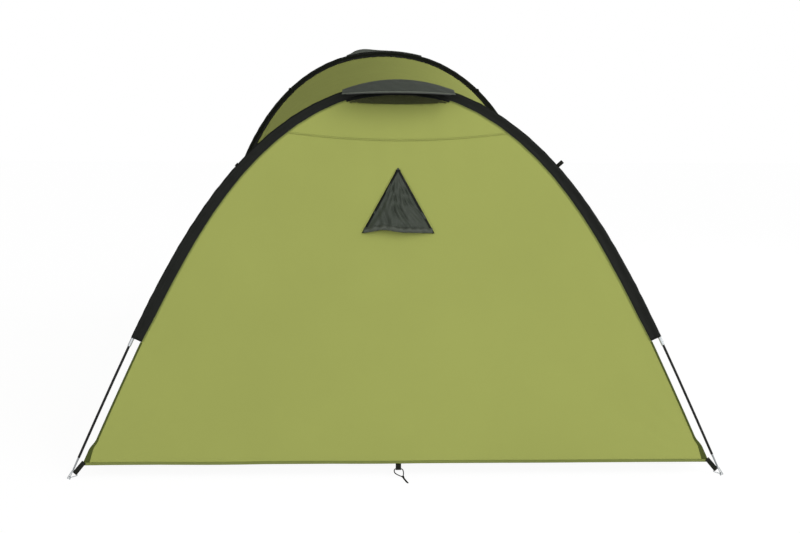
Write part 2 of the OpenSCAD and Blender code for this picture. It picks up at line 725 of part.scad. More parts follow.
bed_y = feet_y[REAR] + sheet_gap[REAR] + 5;
bed_front = bed_y + bed_len;
bed_z = sheet_t + 0.4;
bed_t = 1.2;
rear_shift = bed_h * tan(rear_lean);
inner_white = "#d8d6c8";

module bedroom_floor() {
    color("#54575c") translate([-bed_half, bed_y, bed_z]) cube([2 * bed_half, bed_len, 2]);
}

wall_z = bed_z + 2.4;
module bedroom_side() {
    plate([[bed_half, bed_y, wall_z], [bed_half, bed_front, wall_z],
           [bed_top_half + 2, bed_front, bed_h], [bed_top_half + 2, bed_y + rear_shift, bed_h]], bed_t);
}

module bedroom_right_wall() { color(inner_white) bedroom_side(); }
module bedroom_left_wall() { color(inner_white) mirror([1, 0, 0]) bedroom_side(); }

module bedroom_roof() {
    size = [2 * bed_top_half, bed_len - rear_shift];
    color(inner_white) translate([-bed_top_half, bed_y + rear_shift, bed_h]) cube([size.x, size.y, bed_t]);
}

module bedroom_rear_wall() {
    low = bed_y - 0.4;
    high = low + rear_shift;
    color(inner_white) plate([[-bed_half + 4, low, wall_z], [bed_half - 4, low, wall_z],
        [bed_top_half - 4, high, bed_h], [-bed_top_half + 4, high, bed_h]], bed_t);
}

module bedroom_door() {
    color("#8f9089") plate([[bed_half - 4, bed_front + 0.4, wall_z], [-bed_half + 4, bed_front + 0.4, wall_z],
        [-bed_top_half + 4, bed_front + 0.4, bed_h], [bed_top_half - 4, bed_front + 0.4, bed_h]], bed_t);
}

hanger_len = 66;
hook_r = 8;
// Elastic hangers with hooks, from the bedroom's roof corners towards the canopy
module bedroom_hangers() {
    hook = [for (t = [180:-40:-60]) [hook_r * cos(t) + hook_r, 0, hanger_len + hook_r * sin(t)]];
    path = concat([[0, 0, 0], [0, 0, hanger_len / 2]], hook);
    color("#20211d") for (y = [bed_y + rear_shift + 60, (bed_y + rear_shift + bed_front) / 2, bed_front - 40])
        both_sides() translate([bed_top_half - 12, y, bed_h + bed_t + 0.3])
            tube(path, [for (p = path) 3], [0, 1, 0], sides = 6);
}

// ---- Every sub-part ----

rear_rods();
rear_ferrules();
rear_pole_tips();
rear_shock_cord();
rear_pins();
rear_sleeve();
rear_top_panel();
rear_wall();
rear_hem();
rear_vent_mesh();
rear_vent_flap();
rear_crown_mesh();
rear_hood();
rear_hood_stiffener();
rear_guy_loop_left();
rear_guy_loop_right();
rear_peg_loop();
front_rods();
front_ferrules();
front_pole_tips();
front_shock_cord();
front_pins();
front_sleeve();
front_wall();
front_hem();
front_crown_mesh();
front_hood();
front_hood_stiffener();
front_guy_loop_left();
front_guy_loop_right();
front_peg_loop();
wall_zip();
door_toggles();
door_panel();
door_zip();
side_zip_slider();
sill_zip_slider();
roof_panel();
left_side_panel();
right_side_panel();
side_hems();
corner_webbing();
corner_rings();
left_rear_peg_loop();
left_front_peg_loop();
right_rear_peg_loop();
right_front_peg_loop();
groundsheet();
bedroom_floor();
bedroom_left_wall();
bedroom_right_wall();
bedroom_roof();
bedroom_rear_wall();
bedroom_door();
bedroom_hangers();
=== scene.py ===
import math

import bpy
import numpy as np
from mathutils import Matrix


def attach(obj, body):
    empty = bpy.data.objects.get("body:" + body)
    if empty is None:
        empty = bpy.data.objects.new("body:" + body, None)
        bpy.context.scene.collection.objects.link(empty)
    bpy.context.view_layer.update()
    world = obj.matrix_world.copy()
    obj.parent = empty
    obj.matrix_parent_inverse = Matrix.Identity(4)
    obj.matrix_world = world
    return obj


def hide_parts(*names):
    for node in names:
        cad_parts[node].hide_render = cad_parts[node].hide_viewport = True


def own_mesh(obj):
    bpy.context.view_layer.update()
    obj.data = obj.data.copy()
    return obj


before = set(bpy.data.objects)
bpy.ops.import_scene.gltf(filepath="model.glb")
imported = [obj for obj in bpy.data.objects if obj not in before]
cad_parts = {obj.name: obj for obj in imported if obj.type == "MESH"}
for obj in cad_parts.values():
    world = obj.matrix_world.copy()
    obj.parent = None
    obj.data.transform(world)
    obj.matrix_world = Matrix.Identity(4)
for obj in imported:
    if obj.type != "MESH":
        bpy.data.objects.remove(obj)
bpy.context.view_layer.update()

# ---- Viewpoint ----
# The tent stands end on to the eye, which looks at its lower, rear end from chest height, about
# five and a half metres from its middle, through a moderate lens.
camera = bpy.data.objects.new("camera", bpy.data.cameras.new("camera"))
bpy.context.collection.objects.link(camera)
camera.data.sensor_width = 36
camera.data.lens = 47.25
camera.location = (-0.1181, -5.4597, 1.2952)
camera.rotation_euler = (math.pi / 2 - 0.1358, -0.0045, -0.0317)
bpy.context.scene.camera = camera
bpy.context.scene.view_settings.view_transform = "Standard"

# ---- Floor and light ----
# A white sweep of studio paper, lit from all round and by two large soft boxes on the right, so
# that the cloth shows its own colour.


def linear(hexcode):
    """An sRGB hex colour as linear red, green and blue."""
    parts = [int(hexcode[i:i + 2], 16) / 255 for i in (1, 3, 5)]
    return [c / 12.92 if c <= 0.04045 else ((c + 0.055) / 1.055) ** 2.4 for c in parts]


def add(tree, kind, inputs=(), **settings):
    """One node with its settings; inputs are pairs of a socket and a value or another node's output."""
    made = tree.nodes.new(kind)
    for key, value in settings.items():
        setattr(made, key, value)
    for socket, value in dict(inputs).items():
        if isinstance(value, bpy.types.NodeSocket):
            tree.links.new(value, made.inputs[socket])
        else:
            made.inputs[socket].default_value = value
    return made


def blank(name):
    """An empty material with its output node."""
    material = bpy.data.materials.new(name)
    material.use_nodes = True
    material.node_tree.nodes.clear()
    return material, material.node_tree, material.node_tree.nodes.new("ShaderNodeOutputMaterial")


paper, tree, end = blank("studio_paper")
light_path = add(tree, "ShaderNodeLightPath")
seen = add(tree, "ShaderNodeMath", {0: light_path.outputs["Is Camera Ray"],
                                    1: light_path.outputs["Is Glossy Ray"]}, operation="MAXIMUM")
matt = add(tree, "ShaderNodeBsdfDiffuse", {"Color": (0.8, 0.8, 0.8, 1)})
faint = add(tree, "ShaderNodeBsdfDiffuse", {"Color": (0.14, 0.14, 0.14, 1)})
glow = add(tree, "ShaderNodeEmission", {"Color": (1, 1, 1, 1), "Strength": 0.93})
both = add(tree, "ShaderNodeAddShader", {0: faint.outputs[0], 1: glow.outputs[0]})
chosen = add(tree, "ShaderNodeMixShader", {0: seen.outputs[0], 1: matt.outputs[0], 2: both.outputs[0]})
tree.links.new(chosen.outputs[0], end.inputs["Surface"])
floor_half, floor_z = 30, -0.0005
floor = bpy.data.objects.new("floor", bpy.data.meshes.new("floor"))
square = ((-1, -1), (1, -1), (1, 1), (-1, 1))
floor.data.from_pydata([(floor_half * x, floor_half * y, floor_z) for x, y in square], [], [(0, 1, 2, 3)])
floor.data.materials.append(paper)
bpy.context.collection.objects.link(floor)

world = bpy.data.worlds.new("studio")
bpy.context.scene.world = world
world.use_nodes = True
tree = world.node_tree
tree.nodes.clear()
light_path = add(tree, "ShaderNodeLightPath")
# The room is brightest low behind the eye and to the right, and dim overhead and beyond the tent
heading = add(tree, "ShaderNodeSeparateXYZ", {0: add(tree, "ShaderNodeTexCoord").outputs["Generated"]})
level = 1.07
for axis, gain in (("X", 0.25), ("Y", -1.05), ("Z", -1.15)):
    lit = add(tree, "ShaderNodeMath", {0: heading.outputs[axis], 1: gain, 2: level}, operation="MULTIPLY_ADD")
    level = lit.outputs[0]
lit = add(tree, "ShaderNodeMath", {0: level, 1: 0.1}, operation="MAXIMUM")
around = add(tree, "ShaderNodeBackground", {"Color": (1, 1, 1, 1), "Strength": lit.outputs[0]})
white = add(tree, "ShaderNodeBackground", {"Color": (1, 1, 1, 1), "Strength": 1.0})
seen = add(tree, "ShaderNodeMath", {0: light_path.outputs["Is Camera Ray"],
                                    1: light_path.outputs["Is Transmission Ray"]}, operation="MAXIMUM")
chosen = add(tree, "ShaderNodeMixShader", {0: seen.outputs[0], 1: around.outputs[0], 2: white.outputs[0]})
add(tree, "ShaderNodeOutputWorld", {"Surface": chosen.outputs[0]})


def soft_box(name, place, aim, size, power):
    """A round lamp that faces the place it is aimed at."""
    lamp = bpy.data.objects.new(name, bpy.data.lights.new(name, "AREA"))
    lamp.data.shape = "DISK"
    lamp.data.size = size
    lamp.data.energy = power
    lamp.location = place
    x, y, z = np.array(aim, float) - np.array(place, float)
    lamp.rotation_euler = (math.atan2(math.hypot(x, y), -z), 0, math.atan2(x, -y) + math.pi)
    bpy.context.collection.objects.link(lamp)


soft_box("key_light", (3.6, -5.5, 4.6), (0, -0.6, 0.7), 3.0, 60)
soft_box("side_light", (6.0, 1.0, 2.6), (0.3, 0, 1.3), 2.5, 90)

# ---- Hoops ----
# Each hoop is a chain of equal arcs, steepest at the ground and tightest at the crown. Pole,
# sleeve, wall and canopy all follow it. Its own frame has x across, -y out of the tent and z up.
REAR, FRONT = 0, 1
hoops = ((REAR, "rear"), (FRONT, "front"))
sides = ((-1, "left"), (1, "right"))
half_span = 1.2
foot_y = (-1.7316, 1.6684)
foot_z = 0.0068
lean = math.radians(10)
arcs = (8, 10)
side_rods = (4, 5)
leg_slope = (66.6, 79.7)
crown_bend = (3.1, 2.46)
flat_share = (0, 0.03)
ferrule_half = 0.05
lowest_joint = 0.574
hoop_arcs = []
for h, _ in hoops:
    bent = np.maximum(np.arange(arcs[h] + 1) / arcs[h] - flat_share[h], 0) / (1 - flat_share[h])
    slope = np.radians(leg_slope[h] * (1 - (1 - bent) ** crown_bend[h]))
    turn = np.diff(slope)
    out = np.concatenate([[0], np.cumsum(np.diff(np.sin(slope)) / turn)])
    down = np.concatenate([[0], np.cumsum(-np.diff(np.cos(slope)) / turn)])
    arc = half_span / out[-1]
    hoop_arcs.append({"slope": slope, "turn": turn, "arc": arc, "x": out * arc, "z": (down[-1] - down) * arc})
half_len = [arcs[h] * hoop_arcs[h]["arc"] for h, _ in hoops]
crown_h = [hoop_arcs[h]["z"][0] for h, _ in hoops]


def arc_point(h, s):
    """The hoop's line at distance s from its crown, negative on the left."""
    a = hoop_arcs[h]
    s = np.asarray(s, float)
    t = np.abs(s) / a["arc"]
    i = np.clip(np.floor(t).astype(int), 0, arcs[h] - 1)
    start = a["slope"][i]
    b = start + (t - i) * a["turn"][i]
    r = a["arc"] / a["turn"][i]
    x = a["x"][i] + r * (np.sin(b) - np.sin(start))
    z = a["z"][i] - r * (np.cos(start) - np.cos(b))
    return np.stack([np.where(s < 0, -x, x), z], -1)


def rod_stations(h):
    """Where the rods' chords meet, from the crown down one side."""
    pitch = (half_len[h] - lowest_joint) / (side_rods[h] - 1)
    places = []
    for k in range(side_rods[h]):
        start = k * pitch + ferrule_half
        stop = (k + 1) * pitch - ferrule_half if k < side_rods[h] - 1 else half_len[h]
        places += list(np.linspace(start, stop, 5))
    return np.array(places)


def line_table(h):
    """Points and outward directions along the rods' chords, eased a little where they turn."""
    one_side = rod_stations(h)
    knots = np.concatenate([-one_side[::-1], one_side])
    points = arc_point(h, knots)
    s = np.linspace(-half_len[h], half_len[h], 1601)
    chord = np.stack([np.interp(s, knots, points[:, i]) for i in (0, 1)], -1)
    # The table's points over which a turn is eased
    width = 21
    kernel = np.hanning(width + 2)[1:-1]
    kernel /= kernel.sum()
    before, after = 2 * chord[:1] - chord[width:0:-1], 2 * chord[-1:] - chord[-2:-width - 2:-1]
    ends = np.concatenate([before, chord, after])
    eased = np.stack([np.convolve(ends[:, i], kernel, "same") for i in (0, 1)], -1)[width:-width]
    way = np.gradient(eased, axis=0)
    way /= np.linalg.norm(way, axis=1)[:, None]
    return s, eased, np.stack([-way[:, 1], way[:, 0]], -1)


hoop_lines = [line_table(h) for h, _ in hoops]


def along(h, s, outward=0.0):
    """(x, z) in the hoop's plane at distance s from the crown, moved outwards."""
    table, line, normal = hoop_lines[h]
    p = np.stack([np.interp(s, table, line[:, i]) for i in (0, 1)], -1)
    n = np.stack([np.interp(s, table, normal[:, i]) for i in (0, 1)], -1)
    return p + n * np.asarray(outward, float)[..., None]


def out_of_hoop(h, points):
    """Points in a hoop's own frame, turned and moved to where they stand in the tent."""
    p = np.asarray(points, float)
    x, y, z = p[..., 0], p[..., 1], p[..., 2]
    if h == REAR:
        return np.stack([x, foot_y[REAR] + y * math.cos(lean) + z * math.sin(lean),
                         foot_z - y * math.sin(lean) + z * math.cos(lean)], -1)
    return np.stack([-x, foot_y[FRONT] - y, foot_z + z], -1)


def placed(h, x, y, z):
    """The same for places given by their parts, each a number or an array."""
    return out_of_hoop(h, np.stack(np.broadcast_arrays(x, y, z), -1))


# ---- Poles ----
# Fibreglass rods pulled through resin, with a fine streak along them, pushed into drawn steel
# ferrules. The lowest rod on each side ends in a tapered steel plug on a bent wire pin.


def hard(name, colour, grains, detail, roughness, depth, finish):
    """A hard finish whose fine grain, so many to the metre, sets both its roughness and its relief."""
    material, tree, end = blank(name)
    place = add(tree, "ShaderNodeTexCoord")
    grain = add(tree, "ShaderNodeTexNoise", {"Vector": place.outputs["Object"], "Scale": grains,
                                            "Detail": detail})
    gloss = add(tree, "ShaderNodeMapRange", {"Value": grain.outputs["Fac"], "To Min": roughness[0],
                                            "To Max": roughness[1]})
    relief = add(tree, "ShaderNodeBump", {"Height": grain.outputs["Fac"], "Distance": depth})
    skin = add(tree, "ShaderNodeBsdfPrincipled", {"Base Color": linear(colour) + [1], **finish,
                                                 "Roughness": gloss.outputs["Result"],
                                                 "Normal": relief.outputs["Normal"]})
    tree.links.new(skin.outputs[0], end.inputs["Surface"])
    return material


# A wave texture at this scale repeats once in a metre
wave_scale = 0.314159


def woven(name, colour, thread_mm, roughness=0.62, sheen=0.25, cloud=0.035, crease_mm=0.5, crease_size=0.12,
          specular=0.35, weave=0.35, shade=None):
    """Coated cloth: threads along the piece's own cut, faint clouding and creases across it."""
    material, tree, end = blank(name)
    cut = add(tree, "ShaderNodeTexCoord")
    clouds = add(tree, "ShaderNodeTexNoise", {"Vector": cut.outputs["Object"], "Scale": 2.2, "Detail": 3.0,
                                             "Roughness": 0.5})
    tone = add(tree, "ShaderNodeMapRange", {"Value": clouds.outputs["Fac"], "From Min": 0.3, "From Max": 0.7,
                                           "To Min": 1 - cloud, "To Max": 1 + cloud})
    dyed = add(tree, "ShaderNodeHueSaturation", {"Color": linear(colour) + [1],
                                                "Value": tone.outputs["Result"]})
    # The thread spacing is drawn coarser than life, which would be about 0.3 mm
    scale = wave_scale / (thread_mm / 1000)
    warp, weft = (add(tree, "ShaderNodeTexWave", {"Vector": cut.outputs["UV"], "Scale": scale},
                      wave_type="BANDS", bands_direction=way) for way in ("X", "Y"))
    threads = add(tree, "ShaderNodeMath", {0: warp.outputs["Fac"], 1: weft.outputs["Fac"]},
                  operation="MULTIPLY")
    crossed = add(tree, "ShaderNodeMapRange", {"Value": threads.outputs[0], "To Min": 1 - 0.25 * weave,
                                              "To Max": 1.0 + 0.1 * weave})
    coloured = add(tree, "ShaderNodeMix", {"Factor": 1.0, "A": dyed.outputs["Color"],
                                          "B": crossed.outputs["Result"]},
                   data_type="RGBA", blend_type="MULTIPLY")
    creases = add(tree, "ShaderNodeTexNoise", {"Vector": cut.outputs["Object"], "Scale": 1 / crease_size,
                                              "Detail": 4.0, "Roughness": 0.45, "Distortion": 0.6})
    rumpled = add(tree, "ShaderNodeBump", {"Height": creases.outputs["Fac"], "Distance": crease_mm / 1000,
                                          "Strength": 1.0})
    fine = add(tree, "ShaderNodeBump", {"Height": threads.outputs[0], "Distance": 0.00012, "Strength": weave,
                                       "Normal": rumpled.outputs["Normal"]})
    cloth = add(tree, "ShaderNodeBsdfPrincipled", {
        "Base Color": coloured.outputs["Result"], "Roughness": roughness, "Specular IOR Level": specular,
        "Sheen Weight": sheen, "Sheen Roughness": 0.5, "Sheen Tint": linear(shade or colour) + [1],
        "Normal": fine.outputs["Normal"]})
    tree.links.new(cloth.outputs[0], end.inputs["Surface"])
    return material


def dress(material, *nodes):
    """Gives solids of the frame their finish."""
    for node in nodes:
        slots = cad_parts[node].data.materials
        slots.clear()
        slots.append(material)


# Black resin with a dull sheen; plated steel with a mottled gleam, and greyer where it was turned
rod_black = hard("pultruded_fibreglass", "#0a0b0b", 260.0, 2.0, (0.42, 0.55), 0.00008,
                 {"Specular IOR Level": 0.22})
steel = hard("zinc_plated_steel", "#b4b8ba", 90.0, 3.0, (0.26, 0.46), 0.00006, {"Metallic": 1.0})
plug_steel = hard("turned_steel", "#8d9193", 140.0, 3.0, (0.3, 0.5), 0.00005, {"Metallic": 1.0})
elastic = woven("braided_elastic", "#cac7bd", 1.0, roughness=0.8, crease_mm=0.1, crease_size=0.01)
for _, name in hoops:
    dress(rod_black, name + "_rods")
    dress(plug_steel, name + "_pole_tips")
    dress(steel, name + "_ferrules", name + "_pins")
    dress(elastic, name + "_shock_cord")
dress(steel, "corner_rings")

# ---- Sleeves ----
# A flat black polyester tube stitched along each hoop: a loose loop round the pole, closed by a
# double seam allowance that carries the walls. Its mouths are turned in and stitched above the feet.
sleeve_reach = 0.039
bare_leg = 0.556
loop_r = 0.0076
ring_step, mouth_fold, seam_width = 0.011, 0.016, 0.005
sleeve_black = woven("black_polyester", "#0d100b", 1.4, roughness=0.5, sheen=0.02, cloud=0.12, crease_mm=2.6,
                     crease_size=0.045, specular=0.15, shade="#6b7360")
thread_black = woven("black_thread", "#14170f", 1.0, roughness=0.7, crease_mm=0.0)


def finished(name, points, faces, uv, material):
    """A smooth mesh object at the origin, with a UV map in metres."""
    mesh = bpy.data.meshes.new(name)
    corners = [tuple(p) for p in np.asarray(points, float).reshape(-1, 3)]
    mesh.from_pydata(corners, [], [tuple(map(int, f)) for f in faces])
    layer = mesh.uv_layers.new(name="cut")
    corner = np.empty(len(mesh.loops), np.int32)
    mesh.loops.foreach_get("vertex_index", corner)
    layer.data.foreach_set("uv", np.asarray(uv, np.float32).reshape(-1, 2)[corner].ravel())
    mesh.polygons.foreach_set("use_smooth", [True] * len(mesh.polygons))
    mesh.materials.append(material)
    mesh.update()
    piece = bpy.data.objects.new(name, mesh)
    bpy.context.collection.objects.link(piece)
    return piece


def outward(piece):
    """Turns a closed shape's faces outwards if its volume comes out negative."""
    mesh = piece.data
    mesh.calc_loop_triangles()
    co = np.empty(len(mesh.vertices) * 3)
    mesh.vertices.foreach_get("co", co)
    tri = np.empty(len(mesh.loop_triangles) * 3, np.int32)
    mesh.loop_triangles.foreach_get("vertices", tri)
    a, b, c = co.reshape(-1, 3)[tri.reshape(-1, 3)].transpose(1, 0, 2)
    if (a * np.cross(b, c)).sum() < 0:
        mesh.flip_normals()


def run_of(line):
    """The distance along a line of points, at each of them."""
    return np.concatenate([[0], np.cumsum(np.linalg.norm(np.diff(line, axis=0), axis=1))])


def tube_faces(rings, corners, closed=False):
    """The faces between rings of corners, with the two ends capped unless the tube is closed on itself."""
    faces = []
    for i in range(rings if closed else rings - 1):
        p, q = i * corners, (i + 1) % rings * corners
        faces += [(p + j, p + (j + 1) % corners, q + (j + 1) % corners, q + j) for j in range(corners)]
    if not closed:
        faces += [tuple(range(corners - 1, -1, -1)), tuple(range((rings - 1) * corners, rings * corners))]
    return faces


def sweep(name, path, across, section, material, closed=False):
    """A section carried along a path: its first number runs along across, its second along path x across."""
    path = np.asarray(path, float)
    across = np.broadcast_to(np.asarray(across, float), path.shape).copy()
    way = (np.roll(path, -1, 0) - np.roll(path, 1, 0)) if closed else np.gradient(path, axis=0)
    way /= np.linalg.norm(way, axis=1)[:, None]
    across -= way * (across * way).sum(1)[:, None]
    across /= np.linalg.norm(across, axis=1)[:, None]
    third = np.cross(way, across)
    section = np.broadcast_to(np.asarray(section, float), (len(path),) + np.shape(section)[-2:])
    rings, corners = section.shape[:2]
    points = path[:, None] + section[..., :1] * across[:, None] + section[..., 1:] * third[:, None]
    uv = np.stack(np.broadcast_arrays(run_of(path)[:, None], run_of(section[rings // 2])[None]), -1)
    piece = finished(name, points, tube_faces(rings, corners, closed), uv, material)
    outward(piece)
    return piece


def fixed(piece, body, slot_name, *nodes):
    """Fixes a piece to a body and puts it in the place of solids of the frame; slot_name is not used."""
    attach(piece, body)
    if nodes:
        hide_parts(*nodes)
    return piece


def ripple(seed, at, wavelength, count=7):
    """A smooth uneven wave of about that wavelength, between about -1 and 1."""
    rng = np.random.default_rng(seed)
    at = np.asarray(at, float)
    total = np.zeros(at.shape[:-1])
    for _ in range(count):
        way = rng.normal(size=at.shape[-1])
        way *= 2 * math.pi / wavelength * rng.uniform(0.6, 1.5) / np.linalg.norm(way)
        total += np.sin(at @ way + rng.uniform(0, 2 * math.pi))
    return total / math.sqrt(count) / 1.2


def ease(t):
    """A smooth step from 0 to 1."""
    t = np.clip(t, 0, 1)
    return t * t * (3 - 2 * t)


def seam_inset(h, s):
    """How far the sleeve reaches in from the pole: least over the crown, most above its mouths."""
    mouth = half_len[h] - bare_leg
    return sleeve_reach + np.interp(np.abs(s), (mouth - 1.14, mouth - 0.84, mouth - 0.29, mouth - 0.1, mouth),
                                    (-0.011, -0.007, 0, 0, -0.004))


def stitch_tree():
    """Stitches along a line: mesh edges in, a row of short round threads out."""
    group = bpy.data.node_groups.new("lockstitch", "GeometryNodeTree")
    group.interface.new_socket(name="Line", in_out="INPUT", socket_type="NodeSocketGeometry")
    for name in ("Pitch", "Length", "Thickness"):
        group.interface.new_socket(name=name, in_out="INPUT", socket_type="NodeSocketFloat")
    group.interface.new_socket(name="Thread", in_out="INPUT", socket_type="NodeSocketMaterial")
    group.interface.new_socket(name="Stitches", in_out="OUTPUT", socket_type="NodeSocketGeometry")
    given = add(group, "NodeGroupInput")
    seam = add(group, "GeometryNodeMeshToCurve", {"Mesh": given.outputs["Line"]})
    spots = add(group, "GeometryNodeCurveToPoints", {"Curve": seam.outputs[0],
                                                    "Length": given.outputs["Pitch"]}, mode="LENGTH")
    turned = add(group, "FunctionNodeAlignRotationToVector", {"Vector": spots.outputs["Tangent"]}, axis="Z")
    thread = add(group, "GeometryNodeMeshUVSphere", {"Segments": 6, "Rings": 4, "Radius": 0.5})
    shape = add(group, "ShaderNodeCombineXYZ", {
        "X": given.outputs["Thickness"], "Y": given.outputs["Thickness"], "Z": given.outputs["Length"]})
    row = add(group, "GeometryNodeInstanceOnPoints", {
        "Points": spots.outputs["Points"], "Instance": thread.outputs["Mesh"], "Rotation": turned.outputs[0],
        "Scale": shape.outputs[0]})
    real = add(group, "GeometryNodeRealizeInstances", {"Geometry": row.outputs[0]})
    dyed = add(group, "GeometryNodeSetMaterial", {"Geometry": real.outputs[0],
                                                 "Material": given.outputs["Thread"]})
    add(group, "NodeGroupOutput", {"Stitches": dyed.outputs[0]})
    return group


lockstitch = stitch_tree()


def stitches(name, lines, body, thread, slot_name, pitch=0.006, length=0.0045, thick=0.0011):
    """Rows of stitches along lines of points, made one plain mesh that moves with a body."""
    points, edges = [], []
    for line in lines:
        edges += [(len(points) + i, len(points) + i + 1) for i in range(len(line) - 1)]
        points += [tuple(p) for p in line]
    mesh = bpy.data.meshes.new(name + "_line")
    mesh.from_pydata(points, edges, [])
    guide = bpy.data.objects.new(name + "_line", mesh)
    bpy.context.collection.objects.link(guide)
    row = guide.modifiers.new("lockstitch", "NODES")
    row.node_group = lockstitch
    values = {"Pitch": pitch, "Length": length, "Thickness": thick, "Thread": thread}
    for item in lockstitch.interface.items_tree:
        if item.in_out == "INPUT" and item.name in values:
            row[item.identifier] = values[item.name]
    graph = bpy.context.evaluated_depsgraph_get()
    mesh = bpy.data.meshes.new_from_object(guide.evaluated_get(graph))
    made = bpy.data.objects.new(name, mesh)
    bpy.context.collection.objects.link(made)
    bpy.data.objects.remove(guide)
    return fixed(made, body, slot_name)


def drop_section(tail, flare):
    """The cloth loop round the pole and its flat tail, as a closed outline."""
    loop = [(loop_r * math.cos(a), loop_r * math.sin(a)) for a in np.radians(np.arange(-112, 113, 16))]
    flat = [(-0.0105, 0.0044), (-0.0155, 0.0026), (-0.02, 0.0018)]
    side = flat + [(-0.02 - (tail - 0.02) * t, 0.0017 + flare) for t in (0.35, 0.7, 1.0)]
    return loop + side + [(x, -y) for x, y in side[::-1]]


for h, name in hoops:
    mouth = half_len[h] - bare_leg
    s = np.linspace(-mouth, mouth, int(2 * mouth / ring_step))
    line, beyond = along(h, s), along(h, s, 1.0)
    centre = placed(h, line[:, 0], 0, line[:, 1])
    turned_in = 0.0003 + 0.0006 * (mouth - np.abs(s) < mouth_fold)
    rings = np.array([drop_section(tail, flare) for tail, flare in zip(seam_inset(h, s), turned_in)])
    # The cloth is loose: short cross-ripples on the tail, longer slack round the pole
    for j in range(rings.shape[1]):
        depth = np.clip(-rings[:, j, 0] / sleeve_reach, 0, 1)
        at = np.stack([s, rings[:, j, 0] * 3], -1)
        slack = 0.0011 * ripple(11 + h, at, 0.075) * ease(depth * 4) * (1 - 0.7 * ease(depth * 1.6 - 0.6))
        rings[:, j, 1] += slack + 0.0006 * ripple(21 + h, at, 0.03) * ease(depth * 3)
        puff = 1 + 0.07 * ripple(31 + h, at, 0.05) * (rings[:, j, 0] > -0.004)
        rings[:, j] *= puff[:, None]
    away = placed(h, beyond[:, 0], 0, beyond[:, 1]) - centre
    sleeve = sweep(name + "_sleeve_cloth", centre, away, rings, sleeve_black)
    fixed(sleeve, name + "_hoop", "sleeve_black", name + "_sleeve")
    # Laid flat, the tube is a double strip, and its outline is one side of it
    rows = []
    # Two rows on each face: one close to the pole, the other beside the seam
    fine = np.linspace(-mouth + 0.004, mouth - 0.004, 700)
    for side, _ in sides:
        for inset, lift in ((0.0155 + 0 * fine, 0.0032), (seam_inset(h, fine) - seam_width, 0.0021)):
            p = along(h, fine, -inset)
            rows.append(placed(h, p[:, 0], side * lift, p[:, 1]))
    stitches(name + "_sleeve_stitches", rows, name + "_hoop", thread_black, "sleeve_black")

# ---- Rear wall ----
# Two panels of coated polyester in the rear hoop's plane, joined by a felled seam that sags, with
# a bound edge beside the bare legs and a folded hem. The wall is drawn tight, with faint tension folds.
hem_height = 0.052
edge_gap = 0.0315
top_seam = 1.244
top_seam_r = 2.95
cloth_thick = 0.0008
fly_olive = woven("coated_polyester", "#a2a95c", 1.2, roughness=0.8, sheen=0.0, cloud=0.02, crease_mm=0.9,
                  crease_size=0.22, specular=0.06)
# The darker olive of the hem and of the edge binding is partly painted shade, the shade along the wall's hem
# and its edges beside the legs
hem_olive = woven("woven_binding", "#78813f", 1.6, roughness=0.7, sheen=0.1, cloud=0.05, crease_mm=0.2,
                  crease_size=0.03)
edge_olive = woven("dark_edge_binding", "#4c5526", 1.6, roughness=0.75, sheen=0.05, cloud=0.06, crease_mm=0.2,
                   crease_size=0.03, specular=0.1)
# The olive thread is drawn darker than the cloth, partly as painted shade: the thin dark line along the seams
thread_olive = woven("olive_thread", "#70773c", 1.0, roughness=0.7, crease_mm=0.0)


def edge_inset(h, s):
    """Distance from the hoop's line to the wall's edge: under the sleeve, then beside the bare leg."""
    mouth = half_len[h] - bare_leg
    t = half_len[h] - np.abs(s)
    bare = edge_gap - 0.0095 * ease((0.165 - t) / 0.047)
    return np.where(np.abs(s) <= mouth, seam_inset(h, s) - 0.001, bare)


def edge_of(h):
    """The wall's right edge from the crown down, as points in the hoop's plane."""
    s = np.linspace(0, half_len[h] - 0.002, 900)
    return along(h, s, -edge_inset(h, s))


wall_edges = [edge_of(h) for h, _ in hoops]


def half_width(h, z):
    """Half the wall's width at a height up the hoop's plane."""
    p = wall_edges[h][::-1]
    return np.interp(z, p[:, 1], p[:, 0])


def nearest_on(outline, p):
    """For each point, the nearest point of a closed outline and its distance, and whether it lies inside."""
    a = np.asarray(outline, float)
    b = np.roll(a, -1, 0)
    ab = b - a
    t = np.clip(((p[:, None] - a) * ab).sum(-1) / (ab * ab).sum(-1), 0, 1)
    q = a + ab * t[..., None]
    d = np.linalg.norm(q - p[:, None], axis=-1)
    best = d.argmin(1)
    rows = np.arange(len(p))
    x, z = p[:, None, 0], p[:, None, 1]
    rise = np.where(ab[:, 1] == 0, 1e-12, ab[:, 1])
    crossing = ((a[:, 1] > z) != (b[:, 1] > z)) & (x < ab[:, 0] * (z - a[:, 1]) / rise + a[:, 0])
    return q[rows, best], d[rows, best], crossing.sum(1) % 2 == 1


def grid_faces(rows, cols):
    """The quads of a grid of points."""
    return [(r * cols + c, r * cols + c + 1, (r + 1) * cols + c + 1, (r + 1) * cols + c)
            for r in range(rows - 1) for c in range(cols - 1)]


def spread(across, up, rows, cols):
    """Two grids of numbers, one running evenly across the columns and one up the rows."""
    return np.meshgrid(np.linspace(*across, cols), np.linspace(*up, rows))


def cut_cloth(name, points, uv, faces, material, thick):
    """A cut of cloth through its middle surface's points, with its thickness."""
    piece = finished(name, points, faces, uv, material)
    layer = piece.modifiers.new("cloth", "SOLIDIFY")
    layer.thickness = thick
    layer.offset = 0
    return piece


